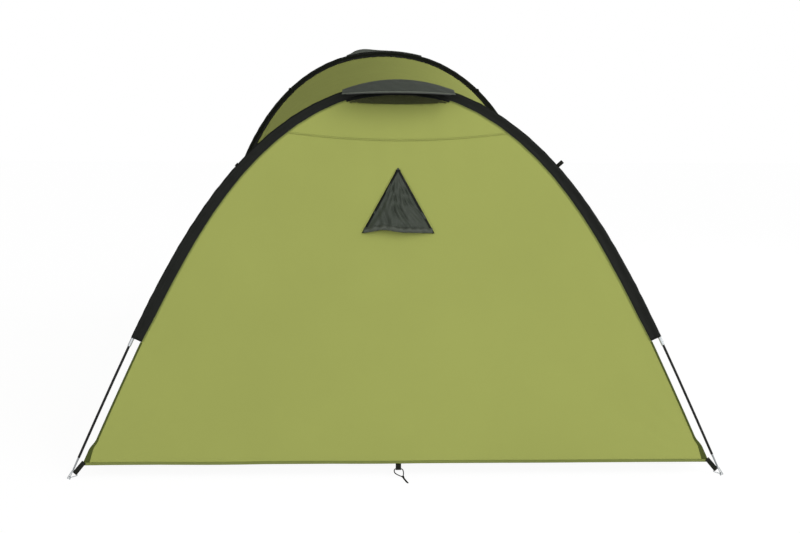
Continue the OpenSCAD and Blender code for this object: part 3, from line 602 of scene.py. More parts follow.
def panel(name, h, grid, relief, material, holes=(), outline=None, thick=cloth_thick):
    """A cut of cloth in a hoop's plane on a grid of (x, z), raised by relief, with its flat area."""
    rows, cols = grid.shape[:2]
    p = grid.reshape(-1, 2).copy()
    # Points within about half a cell of a cut edge are moved onto it
    cell = 0.55 * max(np.linalg.norm(np.diff(grid, axis=way), axis=-1).mean() for way in (0, 1))
    edges = list(holes) + ([outline] if outline is not None else [])
    for edge in edges:
        q, d, _ = nearest_on(edge, p)
        near = d < cell
        p[near] = q[near]
    faces = np.array(grid_faces(rows, cols))
    middle = p[faces].mean(1)
    gone = np.zeros(len(faces), bool)
    for hole in holes:
        gone |= nearest_on(hole, middle)[2]
    if outline is not None:
        gone |= ~nearest_on(outline, middle)[2]
    used, faces = np.unique(faces[~gone], return_inverse=True)
    faces = faces.reshape(-1, 4)
    p = p[used]
    a, b, c, d = p[faces].transpose(1, 0, 2)
    area = (np.abs(np.cross(b - a, c - a)).sum() + np.abs(np.cross(c - a, d - a)).sum()) / 2
    points = placed(h, p[:, 0], relief(p[:, 0], p[:, 1]), p[:, 1])
    return cut_cloth(name, points, p, faces, material, thick), area


def tape(name, h, line, width, lift, material, thick=0.0009, relief=None):
    """A narrow strip of cloth along a line of (x, z) in a hoop's plane, its middle at y = -lift."""
    line = np.asarray(line, float)
    x, z = line.T
    way = np.gradient(line, axis=0)
    way /= np.linalg.norm(way, axis=1)[:, None]
    y = -lift + (relief(x, z) if relief is not None else 0)
    w, t = width / 2, thick / 2
    inner_w, mid_t = w * 0.6, t * 1.15
    outline = [(-w, -t), (-inner_w, -mid_t), (inner_w, -mid_t), (w, -t),
               (w, t), (inner_w, mid_t), (-inner_w, mid_t), (-w, t)]
    here = placed(h, x, y, z)
    return sweep(name, here, placed(h, x - way[:, 1], y, z + way[:, 0]) - here, outline, material)


def rear_relief(x, z):
    """How far the taut rear wall swells: broad and shallow, with folds that fan out from its corners."""
    at = np.stack([x, z], -1)
    edge = ease((half_width(REAR, z) - np.abs(x)) / 0.16) * ease((z - 0.03) / 0.12)
    swell = 0.0022 * ripple(3, at, 0.9) + 0.0009 * ripple(4, at, 0.33)
    fan = 0.0
    for cx in (-1.16, 1.16):
        d = np.hypot(x - cx, z - 0.04)
        a = np.arctan2(z - 0.04, np.abs(x - cx))
        fan = fan + 0.0018 * np.sin(a * 26 + 1.3 * np.sin(d * 5)) * np.exp(-d / 0.28) * ease((d - 0.12) / 0.1)
    drawn = 0.0007 * np.sin(x * 52 + 6 * z + np.sin(x * 9)) * ease((z - 0.9) / 0.3)
    return 0.0016 * (1 - edge) + edge * (swell + drawn) + fan


def seam_z(x):
    """The height of the felled seam at x, up the hoop's plane."""
    return top_seam + top_seam_r - np.sqrt(top_seam_r ** 2 - np.asarray(x, float) ** 2)


def wall_grid(h, low, high, rows, cols):
    """A grid of (x, z) between two curves of height and the wall's two edges."""
    u, v = spread((-1, 1), (0, 1), rows, cols)
    # Heights and widths depend on each other, and settle in a few rounds
    z = 0.3 + 0.6 * v
    for _ in range(30):
        x = u * half_width(h, z)
        z = low(x) + v * (high(x) - low(x))
    return np.stack([u * half_width(h, z), z], -1)


def top_grid(h, low, half, rows, cols):
    """A grid of (x, z) from a curve of height up to the wall's edge under the crown."""
    u, v = spread((-1, 1), (0, 1), rows, cols)
    x = u * half
    base = low(x)
    top = np.interp(np.abs(x), *wall_edges[h].T)
    return np.stack([x, base + v * np.maximum(top - base, 0.0004)], -1)


vent_top = crown_h[REAR] - 0.311
vent_w, vent_h = 0.266, 0.243
vent_reach, vent_sag = 0.2, 0.007


def vent_outline(shrink):
    """The triangular vent, drawn in on all sides by a share of its size."""
    half = vent_w / 2 * (1 - shrink)
    base = vent_top - vent_h * (1 - shrink / 3)
    return np.array([(-half, base), (half, base), (0, vent_top - vent_h * shrink * 0.7)])


def crown_outline(h, grow):
    """The half-moon vent under the crown, closed by a line that sags below its chord."""
    arch = along(h, np.linspace(-1, 1, 41) * (vent_reach + grow), -(sleeve_reach - 0.0027 - grow))
    across = np.linspace(1, -1, 33)
    low = arch[0, 1] - grow - 0.0005 - vent_sag * (1 - across ** 2)
    return np.concatenate([arch, np.stack([across * arch[-1, 0], low], -1)])


hem_line = hem_height - foot_z
rear_wall, area = panel("rear_wall_cloth", REAR, wall_grid(REAR, lambda x: hem_line + 0 * x, seam_z, 96, 181),
                        rear_relief, fly_olive, [vent_outline(0.18)])
fixed(rear_wall, "rear_hoop", "fly_olive", "rear_wall")

seam_half = wall_edges[REAR][np.argmin(np.abs(wall_edges[REAR][:, 1] - seam_z(wall_edges[REAR][:, 0]))), 0]
top_panel, area = panel("rear_top_cloth", REAR, top_grid(REAR, seam_z, seam_half - 0.0005, 26, 121),
                        rear_relief, fly_olive, [crown_outline(REAR, 0)])
fixed(top_panel, "rear_hoop", "fly_olive", "rear_top_panel")

x = np.linspace(-seam_half, seam_half, 160)
felled = np.stack([x, seam_z(x)], -1)
seam = tape("rear_felled_seam", REAR, felled, 0.007, 0.0009, fly_olive, 0.0007, rear_relief)
fixed(seam, "rear_hoop", "fly_olive")
# The seam's stitches in the darker olive thread also paint the shade along the seam
rows = [placed(REAR, x, rear_relief(x, z) - 0.0018, z) for z in (seam_z(x) - 0.0022, seam_z(x) + 0.0015)]
stitches("rear_seam_stitches", rows, "rear_hoop", thread_olive, "fly_olive")

for h, name in hoops:
    # The folded hem, and the binding beside each bare leg; their darker olive is partly painted shade along
    # the wall's lower edge and beside the legs
    body = name + "_hoop"
    wide = float(half_width(h, hem_line + 0.004))
    x = np.linspace(-wide, wide, 260)
    droop = rear_relief if h == REAR else (lambda x, z: 0.0004 + 0 * x)
    wavy = 0.0008 * ripple(41 + h, np.stack([x, 0 * x], -1), 0.5)
    line = np.stack([x, hem_line + 0.0052 + wavy], -1)
    hem = tape(name + "_hem_fold", h, line, 0.0105, 0.0006, hem_olive, 0.0022, droop)
    fixed(hem, body, "hem_olive", name + "_hem")
    rows = [placed(h, x, droop(x, 0 * x + hem_line) - 0.0019, hem_line + 0.0086 + wavy)]
    for side, word in sides:
        s = np.linspace(half_len[h] - bare_leg + 0.002, half_len[h] - 0.052, 90)
        p = along(h, s, -edge_inset(h, s) - 0.0035)
        p = p[p[:, 1] > hem_line + 0.004] * (side, 1)
        bound = tape(name + "_" + word + "_binding", h, p, 0.0075, 0.0004, edge_olive, 0.0022, droop)
        fixed(bound, body, "hem_olive")
    # A narrow strip of darker olive cloth along the sleeve's seam is painted shadow: the shade that the proud
    # sleeve casts on the wall
    mouth = half_len[h] - bare_leg - 0.002
    s = np.linspace(-mouth, mouth, 420)
    line = along(h, s, -seam_inset(h, s) - 0.001)
    fixed(tape(name + "_painted_seam_shadow", h, line, 0.007, 0.0006, hem_olive, 0.0008), body, "hem_olive")
    stitches(name + "_hem_stitches", rows, body, thread_olive, "hem_olive")

# ---- Canopy ----
# One sheet sewn from a roof and two sides, stretched from hoop to hoop and sagging between them.
# Its long seams are felled, and its lower edges are bound.
canopy_sag = 0.028
roof_u, hem_u = 0.42, 0.993


def hoop_edge(h, u):
    """Where the canopy meets a hoop, for u from -1 to 1 over the roof."""
    reach = half_len[h] - (hem_line + 0.012) / math.sin(math.radians(leg_slope[h]))
    s = u * reach
    inset = edge_inset(h, s) + 0.0012
    p = arc_point(h, s)
    a = hoop_arcs[h]
    t = np.abs(s) / a["arc"]
    i = np.clip(np.floor(t).astype(int), 0, arcs[h] - 1)
    b = a["slope"][i] + (t - i) * a["turn"][i]
    x = p[..., 0] - inset * np.sin(b) * np.sign(s)
    z = p[..., 1] - inset * np.cos(b)
    tilt, way = (lean, 1) if h == REAR else (0.0, -1)
    proud = 0.003
    return np.stack([x, foot_y[h] + way * (z * math.sin(tilt) + proud * math.cos(tilt)),
                     foot_z + z * math.cos(tilt) - proud * math.sin(tilt)], -1)


def canopy_at(u, v, lift=0.0):
    """A point of the canopy, u across and v from the rear hoop to the front one, raised by lift."""
    u, v = np.broadcast_arrays(np.asarray(u, float), np.asarray(v, float))
    p = hoop_edge(REAR, u) * (1 - v[..., None]) + hoop_edge(FRONT, u) * v[..., None]
    hub = p * (0, 1, 0) + (0, 0, 0.42)
    d = p - hub
    d /= np.linalg.norm(d, axis=-1)[..., None]
    sag = canopy_sag * 4 * v * (1 - v) * (1 - np.abs(u) ** 6)
    free = ease(v / 0.05) * ease((1 - v) / 0.05)
    at = np.stack([u * 2.1, v * 3.3], -1)
    pull = 0.0
    for near, seed in ((v, 61), (1 - v, 62)):
        # Short folds run back from each hoop, where the cloth is gathered by its curve
        pull = pull + 0.0022 * ripple(seed, np.stack([u * 2.1, near * 0.35], -1), 0.16) * np.exp(-near / 0.09)
    slack = 0.0042 * ripple(63, np.stack([u * 1.5, v * 1.2], -1), 0.62) + 0.0012 * ripple(64, at, 0.28)
    raised = free * (slack + pull) * ease((1 - np.abs(u)) / 0.04) + lift - 0.0007
    return p - d * (sag - raised)[..., None]


# Half the cut's width and its length, for the threads
cut_w, cut_len = 2.15, 3.25
rows, cols = 121, 181
u, v = spread((-hem_u, hem_u), (0, 1), rows, cols)
canopy = cut_cloth("canopy_cloth", canopy_at(u, v), np.stack([u * cut_w, v * cut_len], -1),
                   grid_faces(rows, cols), fly_olive, cloth_thick)
fixed(canopy, "tent_base", "fly_olive", "roof_panel", "left_side_panel", "right_side_panel")
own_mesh(canopy)


def canopy_strip(name, u0, u1, material, thickness):
    """A strip of cloth laid along the canopy from hoop to hoop."""
    top, count = 0.0014, 140
    v = np.linspace(0.001, 0.999, count)
    outline = [(0.0, top - thickness), (0.0, top), (0.15, top + 0.0004), (0.85, top + 0.0004), (1.0, top),
               (1.0, top - thickness)]
    points = np.stack([canopy_at(u0 + (u1 - u0) * a, v, b) for a, b in outline], 1)
    uv = np.stack(np.broadcast_arrays(v[:, None] * 3.3, [[a * 0.014 for a, _ in outline]]), -1)
    strip = finished(name, points, tube_faces(count, len(outline)), uv, material)
    outward(strip)
    return strip


for side, word in sides:
    felled = canopy_strip("canopy_" + word + "_seam", side * (roof_u - 0.0028), side * (roof_u + 0.0028),
                          fly_olive, 0.0012)
    fixed(felled, "tent_base", "fly_olive")
    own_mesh(felled)
    bound = canopy_strip("canopy_" + word + "_hem", side * (hem_u - 0.0002), side * 0.9995, hem_olive, 0.0026)
    fixed(bound, "tent_base", "hem_olive", *(["side_hems"] if side > 0 else []))
    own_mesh(bound)
    v = np.linspace(0.004, 0.996, 900)
    rows = [canopy_at(side * at, v, 0.0019) for at in (roof_u - 0.0019, roof_u + 0.0019, hem_u + 0.0012)]
    sewn = stitches("canopy_" + word + "_stitches", rows, "tent_base", thread_olive, "fly_olive")
    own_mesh(sewn)

# ---- Vent hoods ----
# A visor of coated grey polyester over each crown vent. Its back edge is sewn behind the sleeve,
# and a flat plastic strip in the folded front edge holds it out from the mesh.
hood_w, hood_reach, brim_drop, hood_back = (0.415, 0.5), 0.13, 0.059, 0.01
hood_grey = woven("grey_coated_polyester", "#464b44", 1.2, roughness=0.5, sheen=0.1, cloud=0.05,
                  crease_mm=1.4, crease_size=0.07, shade="#9aa095")
edge_grey = woven("grey_folded_edge", "#62675d", 1.4, roughness=0.55, sheen=0.2, cloud=0.04, crease_mm=0.3,
                  crease_size=0.02)


def hood_at(h, across, out, lift=0.0):
    """A point of a hood: across from -1 to 1, out from 0 behind the sleeve to 1 at the brim."""
    x = across * hood_w[h] / 2
    tilt = np.interp(np.abs(x) / hoop_arcs[h]["arc"], (0, 1), hoop_arcs[h]["slope"][:2])
    rest = arc_point(h, x * 1.01)[..., 1] + 0.0116 / np.cos(tilt) + lift
    brim = np.minimum(crown_h[h] - brim_drop + lift, rest)
    # The first part lies over the sleeve, and the rest reaches out to the brim
    over = 0.13
    back = out < over
    t = np.clip((out - over) / (1 - over), 0, 1)
    ease_back = 1 - np.clip(out / over, 0, 1)
    stand = hood_reach * (1 - 0.25 * across * across)
    at = np.stack([x, out * 0.13], -1)
    crumple = 0.0012 * ripple(71 + h, at, 0.06) * ease(t * 3) * ease((1 - t) * 4)
    # The cloth stands a little proud of the pole: in the middle at the rear, to one side at the front
    if h == REAR:
        proud = 0.006 * (1 - across ** 2)
    else:
        proud = 0.019 * np.exp(-((across - 0.62) / 0.36) ** 2) * ease((1 - across) * 4)
    proud = proud * np.where(back, ease(out / over), ease((1 - t) / 0.85))
    y = np.where(back, hood_back * ease_back, -stand * t)
    z = np.where(back, rest - 0.004 * ease_back ** 2, rest + (brim - rest) * np.maximum(t, 1e-9) ** 1.25)
    return np.stack([x, y, z + crumple + proud], -1)


for h, name in hoops:
    rows, cols = 33, 97
    a, o = spread((-1, 1), (0.004, 0.996), rows, cols)
    hood = cut_cloth(name + "_hood_cloth", out_of_hoop(h, hood_at(h, a, o, 0.0007)),
                 np.stack([a * hood_w[h] / 2, o * 0.16], -1), grid_faces(rows, cols), hood_grey, 0.0009)
    fixed(hood, name + "_hoop", "hood_grey", name + "_hood")
    across = np.linspace(-0.995, 0.995, 120)
    rim, inner, sewn = (out_of_hoop(h, hood_at(h, across, np.full(120, out), lift))
                        for out, lift in ((0.985, 0.001), (0.92, 0.001), (0.915, 0.0021)))
    w, t = 0.0055, 0.0012
    fold = sweep(name + "_hood_edge", (rim + inner) / 2, rim - inner,
                 [(-w, -t), (w * 0.7, -t * 1.2), (w, 0), (w * 0.7, t * 1.2), (-w, t)], edge_grey)
    fixed(fold, name + "_hoop", "hood_grey")
    stitches(name + "_hood_stitches", [sewn], name + "_hoop", thread_black, "hood_grey")

# ---- Vent netting ----
# Knitted dark polyester netting, sewn behind each vent's opening so that air passes and insects
# do not. The knit is open, and the dark inside of the tent shows through it.


def knitted(name, colour, pitch, edge, holes, finish):
    """Knitted netting with yarns at a pitch, which thin out from edge to let light through the holes."""
    material, tree, end = blank(name)
    cut = add(tree, "ShaderNodeTexCoord")
    scale = wave_scale / pitch
    courses, wales = (add(tree, "ShaderNodeTexWave", {"Vector": cut.outputs["UV"], "Scale": scale},
                          wave_type="BANDS", bands_direction=way) for way in ("X", "Y"))
    knit = add(tree, "ShaderNodeMath", {0: courses.outputs["Fac"], 1: wales.outputs["Fac"]},
               operation="MAXIMUM")
    yarn = add(tree, "ShaderNodeMapRange", {"Value": knit.outputs[0], "From Min": edge, "From Max": 0.7,
                                           "To Min": holes, "To Max": 1.0})
    dyed = add(tree, "ShaderNodeBsdfPrincipled", {"Base Color": linear(colour) + [1], **finish,
                                                 "Alpha": yarn.outputs["Result"]})
    tree.links.new(dyed.outputs[0], end.inputs["Surface"])
    return material


# Holes about 2 mm across, drawn coarser than life, which would be about 1 mm
netting = knitted("knitted_fly_netting", "#55583a", 0.0022, 0.55, 0.12,
                  {"Roughness": 0.85, "Specular IOR Level": 0.2})


def net(vent, node, h, outline, relief, rows, cols):
    """A flat piece of netting behind a vent, cut to the vent's outline."""
    low, high = outline.min(0), outline.max(0)
    grid = np.stack(spread((low[0], high[0]), (low[1], high[1]), rows, cols), -1)
    made, area = panel(vent + "_netting", h, grid, lambda x, z: relief(x, z) + 0.0018, netting,
                       outline=outline, thick=0.0004)
    hoop = hoops[h][1]
    fixed(made, hoop + "_hoop", "mesh_black")
    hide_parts(node)


net("rear_vent", "rear_vent_mesh", REAR, vent_outline(0.08), rear_relief, 34, 34)
net("rear_crown", "rear_crown_mesh", REAR, crown_outline(REAR, 0.004), rear_relief, 14, 70)
for h, name in hoops:
    # A black tape binds the vent's curved edge below the sleeve; its black is partly painted shade, the dark
    # under the hood's brim
    half = vent_reach + 0.006
    s = np.linspace(-half, half, 120)
    inset = sleeve_reach - 0.0055 - 0.0045 * (s / half) ** 2
    bound = tape(name + "_vent_binding_and_shade", h, along(h, s, -inset), 0.0125, 0.0013, sleeve_black, 0.0011)
    fixed(bound, name + "_hoop", "sleeve_black")

# ---- Vent flap ----
# A triangle of the grey cloth sewn to the rear wall along its two upper edges. It hangs a little
# open along its base, where a folded hem carries a row of stitches, and it is creased from packing.
flap_bulge = 0.03
flap_half = vent_w * 0.51
flap_grey = woven("creased_grey_polyester", "#3a4037", 1.2, roughness=0.5, sheen=0.05, cloud=0.08,
                  crease_mm=2.2, crease_size=0.04, specular=0.25, shade="#9aa095")
flap_hem_grey = woven("grey_flap_hem", "#454a41", 1.4, roughness=0.55, sheen=0.1, cloud=0.04, crease_mm=0.3,
                      crease_size=0.02)


def flap_at(u, v, lift=0.0):
    """A point of the flap: u from -1 to 1 across, v from 0 at its base to 1 at its tip."""
    open_here = (1 - u * u) * np.maximum(1 - v, 0) ** 1.5
    coarse = ripple(81, np.stack([u * 0.13 + v * 0.02, v * 0.05], -1), 0.034)
    fine = ripple(82, np.stack([u * 0.13 + v * 0.16, v * 0.05], -1), 0.03)
    near_edge = ease((1 - v) / 0.7) * ease((1 - np.abs(u)) / 0.12) * (0.45 + 0.55 * ease((v - 0.03) / 0.1))
    creases = (0.0046 * coarse + 0.0032 * fine) * near_edge
    lifted = 0.011 * np.exp(-((u + 0.42) / 0.34) ** 2) * np.maximum(1 - v, 0) ** 3
    x, z = u * flap_half * (1 - v), vent_top - (vent_h + 0.005) * (1 - v) + lifted
    stand = np.maximum(flap_bulge * open_here * (1.0 - 0.25 * u) + creases, -0.0004)
    return placed(REAR, x, rear_relief(x, z) - 0.0016 - lift - stand, z)


rows, cols = 64, 73
u, v = spread((-1, 1), (0, 0.985), rows, cols)
flap = cut_cloth("rear_flap_cloth", flap_at(u, v, 0.0006), np.stack([u * (1 - v) * 0.133, v * 0.25], -1),
             grid_faces(rows, cols), flap_grey, 0.0009)
fixed(flap, "rear_hoop", "hood_grey", "rear_vent_flap")
u = np.linspace(-0.985, 0.985, 110)
low, high = flap_at(u, np.full(110, 0.002), 0.0013), flap_at(u, np.full(110, 0.084), 0.0013)
w, t = 0.0102, 0.0009
folded = [(-w, -t), (-w * 0.8, -t * 1.3), (w * 0.85, -t * 1.3), (w, -t), (w, t), (-w, t)]
flap_hem = sweep("rear_flap_hem", (low + high) / 2, high - low, folded, flap_hem_grey)
fixed(flap_hem, "rear_hoop", "hood_grey")
stitches("rear_flap_stitches", [flap_at(u * 0.98, np.full(110, 0.077), 0.0027)], "rear_hoop", thread_black,
         "hood_grey", thick=0.0009)
w, t = 0.0046, 0.0006
binding = [(-w, -t), (-w * 0.7, -t * 1.2), (w * 0.7, -t * 1.2), (w, -t), (w, t), (-w, t)]
rows = []
for side, word in sides:
    # The dark tape that binds the sewn edge; its black is partly painted shade along the flap's two sides
    v = np.linspace(0.0, 0.955, 110)
    outer = flap_at(side * np.ones(110), v, 0.0012)
    inner = flap_at(side * np.maximum(1 - 0.0105 / (flap_half * (1 - v)), 0.02), v, 0.0012)
    bound = sweep("rear_flap_" + word + "_binding", (outer + inner) / 2, outer - inner, binding, sleeve_black)
    fixed(bound, "rear_hoop", "sleeve_black")
    v = np.linspace(0.02, 0.95, 120)
    x, z = side * (flap_half * (1 - v) + 0.0035), vent_top - vent_h * (1 - v) + 0.0015
    rows.append(placed(REAR, x, rear_relief(x, z) - 0.0009, z))
stitches("rear_flap_side_stitches", rows, "rear_hoop", thread_olive, "fly_olive")

# ---- Front wall ----
# One panel of the fly's polyester in the front hoop's plane, with the door's opening cut out of it
# and the second crown vent above. It is drawn tight like the rear wall.
door_w, sill, door_top, door_round, door_gap = 0.76, 0.12, 1.4, 0.26, 0.0008


def door_outline(grow):
    """The door's outline, wider all round by grow: up the sewn side, over the top and down."""
    r = door_round + grow
    turn = np.radians(np.arange(0, 91, 6))
    centre = (door_w / 2 - door_round, door_top - door_round)
    corner = centre + r * np.stack([np.cos(turn), np.sin(turn)], -1)
    foot = np.array([(door_w / 2 + grow, sill - grow)])
    return np.concatenate([foot, corner, corner[::-1] * (-1, 1), foot * (-1, 1)])


def door_distance(x, z):
    """How far a place on the wall lies outside the door's opening, or inside it if negative."""
    dx, dz = np.abs(x) - door_w / 2, np.maximum(z - door_top, sill - z)
    return np.hypot(np.maximum(dx, 0), np.maximum(dz, 0)) + np.minimum(np.maximum(dx, dz), 0)


def front_relief(x, z):
    """How far the front wall swells, flat beside the zip."""
    at = np.stack([x, z], -1)
    edge = ease((half_width(FRONT, z) - np.abs(x)) / 0.16) * ease((z - 0.03) / 0.12)
    free = ease(door_distance(x, z) / 0.14)
    drawn = 0.0008 * np.sin(x * 40 + 9 * z) * ease((z - 1.42) / 0.2)
    swell = 0.0022 * ripple(5, at, 0.85) + 0.001 * ripple(6, at, 0.3)
    return free * (edge * (swell + drawn) + 0.0014 * (1 - edge))


front_half = wall_edges[FRONT][:, 0].max() - 0.0005
grid = top_grid(FRONT, lambda x: hem_line + 0 * x, front_half, 131, 211)
front_wall, area = panel("front_wall_cloth", FRONT, grid, front_relief, fly_olive,
                         [door_outline(door_gap), crown_outline(FRONT, 0)])
fixed(front_wall, "front_hoop", "fly_olive", "front_wall")
net("front_crown", "front_crown_mesh", FRONT, crown_outline(FRONT, 0.004), front_relief, 14, 70)

# ---- Door ----
# A D-shaped panel of the same cloth, sewn down one side and zipped round the rest: nylon coils on
# woven black tape, with two enamelled sliders and three toggles that tie it open.
zip_tape = woven("woven_zip_tape", "#1b1d17", 1.2, roughness=0.75, sheen=0.2, cloud=0.05, crease_mm=0.1,
                 crease_size=0.02)
# Sprayed enamel has a faint orange peel; nylon keeps the grain of its mould
enamel = hard("enamelled_die_casting", "#20201e", 1400.0, 1.0, (0.22, 0.36), 0.00004, {"Coat Weight": 0.4})
moulded = hard("moulded_nylon", "#22231f", 900.0, 2.0, (0.4, 0.55), 0.00006, {"IOR": 1.53})
dress(enamel, "side_zip_slider", "sill_zip_slider")
dress(moulded, "door_toggles", "rear_hood_stiffener", "front_hood_stiffener")


def door_relief(x, z):
    """The door swells gently and lies flat beside its zip."""
    at = np.stack([x, z], -1)
    return ease(-door_distance(x, z) / 0.12) * (0.0034 * ripple(7, at, 0.55) + 0.0013 * ripple(8, at, 0.19))


grid = np.stack(spread((-door_w / 2, door_w / 2), (sill, door_top), 129, 77), -1)
door, area = panel("door_cloth", FRONT, grid, door_relief, fly_olive, outline=door_outline(0))
fixed(door, "door", "fly_olive", "door_panel")


def zip_line(grow, step):
    """The zip's run at a distance from the door's edge: along the sill, up and over the top."""
    line = door_outline(grow)[::-1]
    line = np.concatenate([[(door_w / 2 - 0.012, sill - grow)], line])
    line = np.concatenate([line[:1], line[1:][line[1:, 0] < door_w / 2 - 0.012]])
    run = run_of(line)
    at = np.arange(0, run[-1], step)
    return np.stack([np.interp(at, run, line[:, i]) for i in (0, 1)], -1)


for word, body, tape_at, coil_at, sewn_at in (("wall", "front_hoop", 0.0088, 0.0026, 0.0123),
                                              ("door", "door", -0.0078, -0.0018, -0.0113)):
    dress(zip_tape, word + "_zip")
    strip = tape(word + "_zip_tape", FRONT, zip_line(tape_at, 0.012), 0.0115, 0.0011, zip_tape, 0.0007)
    fixed(strip, body, "zip_dark")
    x, z = zip_line(coil_at, 0.004).T
    stitches(word + "_zip_coil", [placed(FRONT, x, -0.0031, z)], body, zip_tape, "zip_dark", pitch=0.0021,
             length=0.0013, thick=0.0034)
    x, z = zip_line(sewn_at, 0.01).T
    stitches(word + "_zip_stitches", [placed(FRONT, x, -0.0018, z)], body, thread_black, "zip_dark",
             thick=0.0008)
z = np.linspace(sill + 0.01, door_top - door_round, 200)
rows = [placed(FRONT, door_w / 2 + off, -0.0008, z) for off in (0.0035, 0.0085)]
stitches("door_side_stitches", rows, "front_hoop", thread_olive, "fly_olive")

# ---- Guy and peg loops ----
# Folded tabs of woven polypropylene webbing, ribbed along their length. The guy loops stand on the
# sleeves; each peg loop hangs from a hem and carries a knotted loop of braided cord.
webbing = woven("woven_webbing", "#15170f", 2.2, roughness=0.6, sheen=0.05, cloud=0.08, crease_mm=0.2,
                crease_size=0.01, weave=1.0, specular=0.15, shade="#4c5144")
braid = woven("braided_cord", "#14150f", 1.1, roughness=0.65, sheen=0.05, cloud=0.1, crease_mm=0.3,
              crease_size=0.004, weave=1.0, specular=0.15, shade="#4c5144")


def fold_path(length):
    """A tab folded back on itself, from the seam down round its eye and up again, in (y, z)."""
    eye = 0.0045 + 0.0007
    centre = -(length - 0.0045 - 0.0014)
    round_eye = [(eye * math.sin(a), centre + eye * math.cos(a)) for a in np.radians(np.arange(38, 323, 15))]
    neck = [(0.0008, 0), (0.0008, centre * 0.4), (0.0009, centre + 0.0085), (0.0019, centre + 0.0056)]
    return np.array(neck + round_eye + [(-y, z) for y, z in neck[::-1]])


def smooth(points, per=6, closed=False):
    """A Catmull-Rom curve through the points."""
    p = np.asarray(points, float)
    first, last = (p[-1:], p[:2]) if closed else (2 * p[:1] - p[1:2], 2 * p[-1:] - p[-2:-1])
    p = np.concatenate([first, p, last])
    curve = []
    for a, b, c, d in zip(p, p[1:], p[2:], p[3:]):
        for t in np.linspace(0, 1, per, endpoint=False):
            curve.append(0.5 * (2 * b + (c - a) * t + (2 * a - 5 * b + 4 * c - d) * t * t
                                + (3 * b - a - 3 * c + d) * t ** 3))
    return np.array(curve if closed else curve + [p[-2]])


def webbing_section(width):
    """Webbing across its width, a little thicker between its woven edges."""
    w, t = width / 2, 0.0006
    inner_w, mid_t = w * 0.9, t * 1.2
    return [(-w, -t), (-w, t), (-inner_w, mid_t), (inner_w, mid_t), (w, t), (w, -t), (inner_w, -mid_t),
            (-inner_w, -mid_t)]


def block_section(half_w, half_t):
    """A plain rectangle."""
    return [(-half_w, -half_t), (half_w, -half_t), (half_w, half_t), (-half_w, half_t)]


def across_x(turned, line):
    """The direction of a frame's own x along a line, as turned takes it to the tent."""
    return turned(line + (1.0, 0, 0)) - turned(line)


def tab(name, turned, length, width, body):
    """A webbing tab; turned takes points in its own frame, width along x, to the tent's."""
    line = np.insert(fold_path(length), 0, 0.0, axis=1)
    made = sweep(name + "_webbing", turned(line), across_x(turned, line), webbing_section(width), webbing)
    fixed(made, body, "webbing_black", name)


def round_section(corners):
    """A circle of radius one."""
    a = np.radians(np.arange(0, 360, 360 // corners))
    return np.stack([np.cos(a), np.sin(a)], -1)


def spun(name, turned, points, radius, body, closed=False):
    """A round cord through the points."""
    line = smooth(points, 6, closed)
    lead = (0.05, 0.6, 0.8) if closed else (0.9, -0.1, 0.42)
    made = sweep(name, turned(line), turned(line + lead) - turned(line), round_section(12) * radius, braid,
                 closed)
    fixed(made, body, "webbing_black")


guy_s = 0.69
guy_loops = ((REAR, 1, 0, "rear_guy_loop_right"), (REAR, -1, -105, "rear_guy_loop_left"),
             (FRONT, -1, -105, "front_guy_loop_right"), (FRONT, 1, -105, "front_guy_loop_left"))
for h, side, turn, word in guy_loops:
    start = along(h, guy_s, 0.010)
    tilt = np.interp(guy_s / hoop_arcs[h]["arc"], np.arange(arcs[h] + 1), hoop_arcs[h]["slope"])
    swing = math.radians(180 + turn)

    def guy_frame(p):
        """From the loop's own frame, turned on its stitching and tilted with the hoop, to the tent's."""
        y = p[..., 1] * math.cos(swing) - p[..., 2] * math.sin(swing)
        up = p[..., 1] * math.sin(swing) + p[..., 2] * math.cos(swing)
        x = p[..., 0] * math.cos(tilt) + up * math.sin(tilt)
        z = -p[..., 0] * math.sin(tilt) + up * math.cos(tilt)
        return placed(h, side * (start[0] + x), y, start[1] + z)

    tab(word, guy_frame, 0.022, 0.015, word)
    # The part of the tab that is caught in the sleeve's seam, where the loop turns
    line = along(h, np.full(3, guy_s), (0.0062, 0.0084, 0.0106)) * (side, 1)
    before, after = (along(h, guy_s + step) * (side, 1) for step in (-0.01, 0.01))
    way = placed(h, after[0], 0, after[1]) - placed(h, before[0], 0, before[1])
    root = sweep(word + "_root", placed(h, line[:, 0], 0, line[:, 1]), way, block_section(0.0074, 0.0012),
                 webbing)
    fixed(root, hoops[h][1] + "_hoop", "webbing_black")

# The knotted cord below a peg loop, in millimetres from the ground under its tab
cord_route = [(-5, 0, 32.6), (-10.8, -0.6, 32.3), (-14.2, -2, 30), (-15.5, -3.4, 24.9), (-13, -5, 18.7),
              (-6, -6.6, 13.4), (4, -8, 9), (12, -9.2, 5.9), (16.6, -9.8, 5.4), (18, -8.6, 9.5),
              (18.6, -6, 15.8), (18.2, -4, 22.8), (15.6, -2, 29.3), (11, -0.6, 32.2), (5, 0, 32.6)]
knot_turns = [(13.4, -9.6, 6.4), (15.2, -9, 7.4), (18.4, -9.6, 6.8), (19.6, -12, 5.2), (17.2, -13.2, 4),
              (14.8, -11.6, 4.4), (16.4, -9.4, 6), (19.4, -11.6, 6.4), (20, -14.6, 4.2)]
tail = [(19.6, -14, 4), (20.4, -16.6, 3), (22.4, -24, 1.8), (25.4, -36, 1.6), (28.8, -50, 1.6),
        (33.6, -67.9, 1.6)]
peg_spread = 0.9


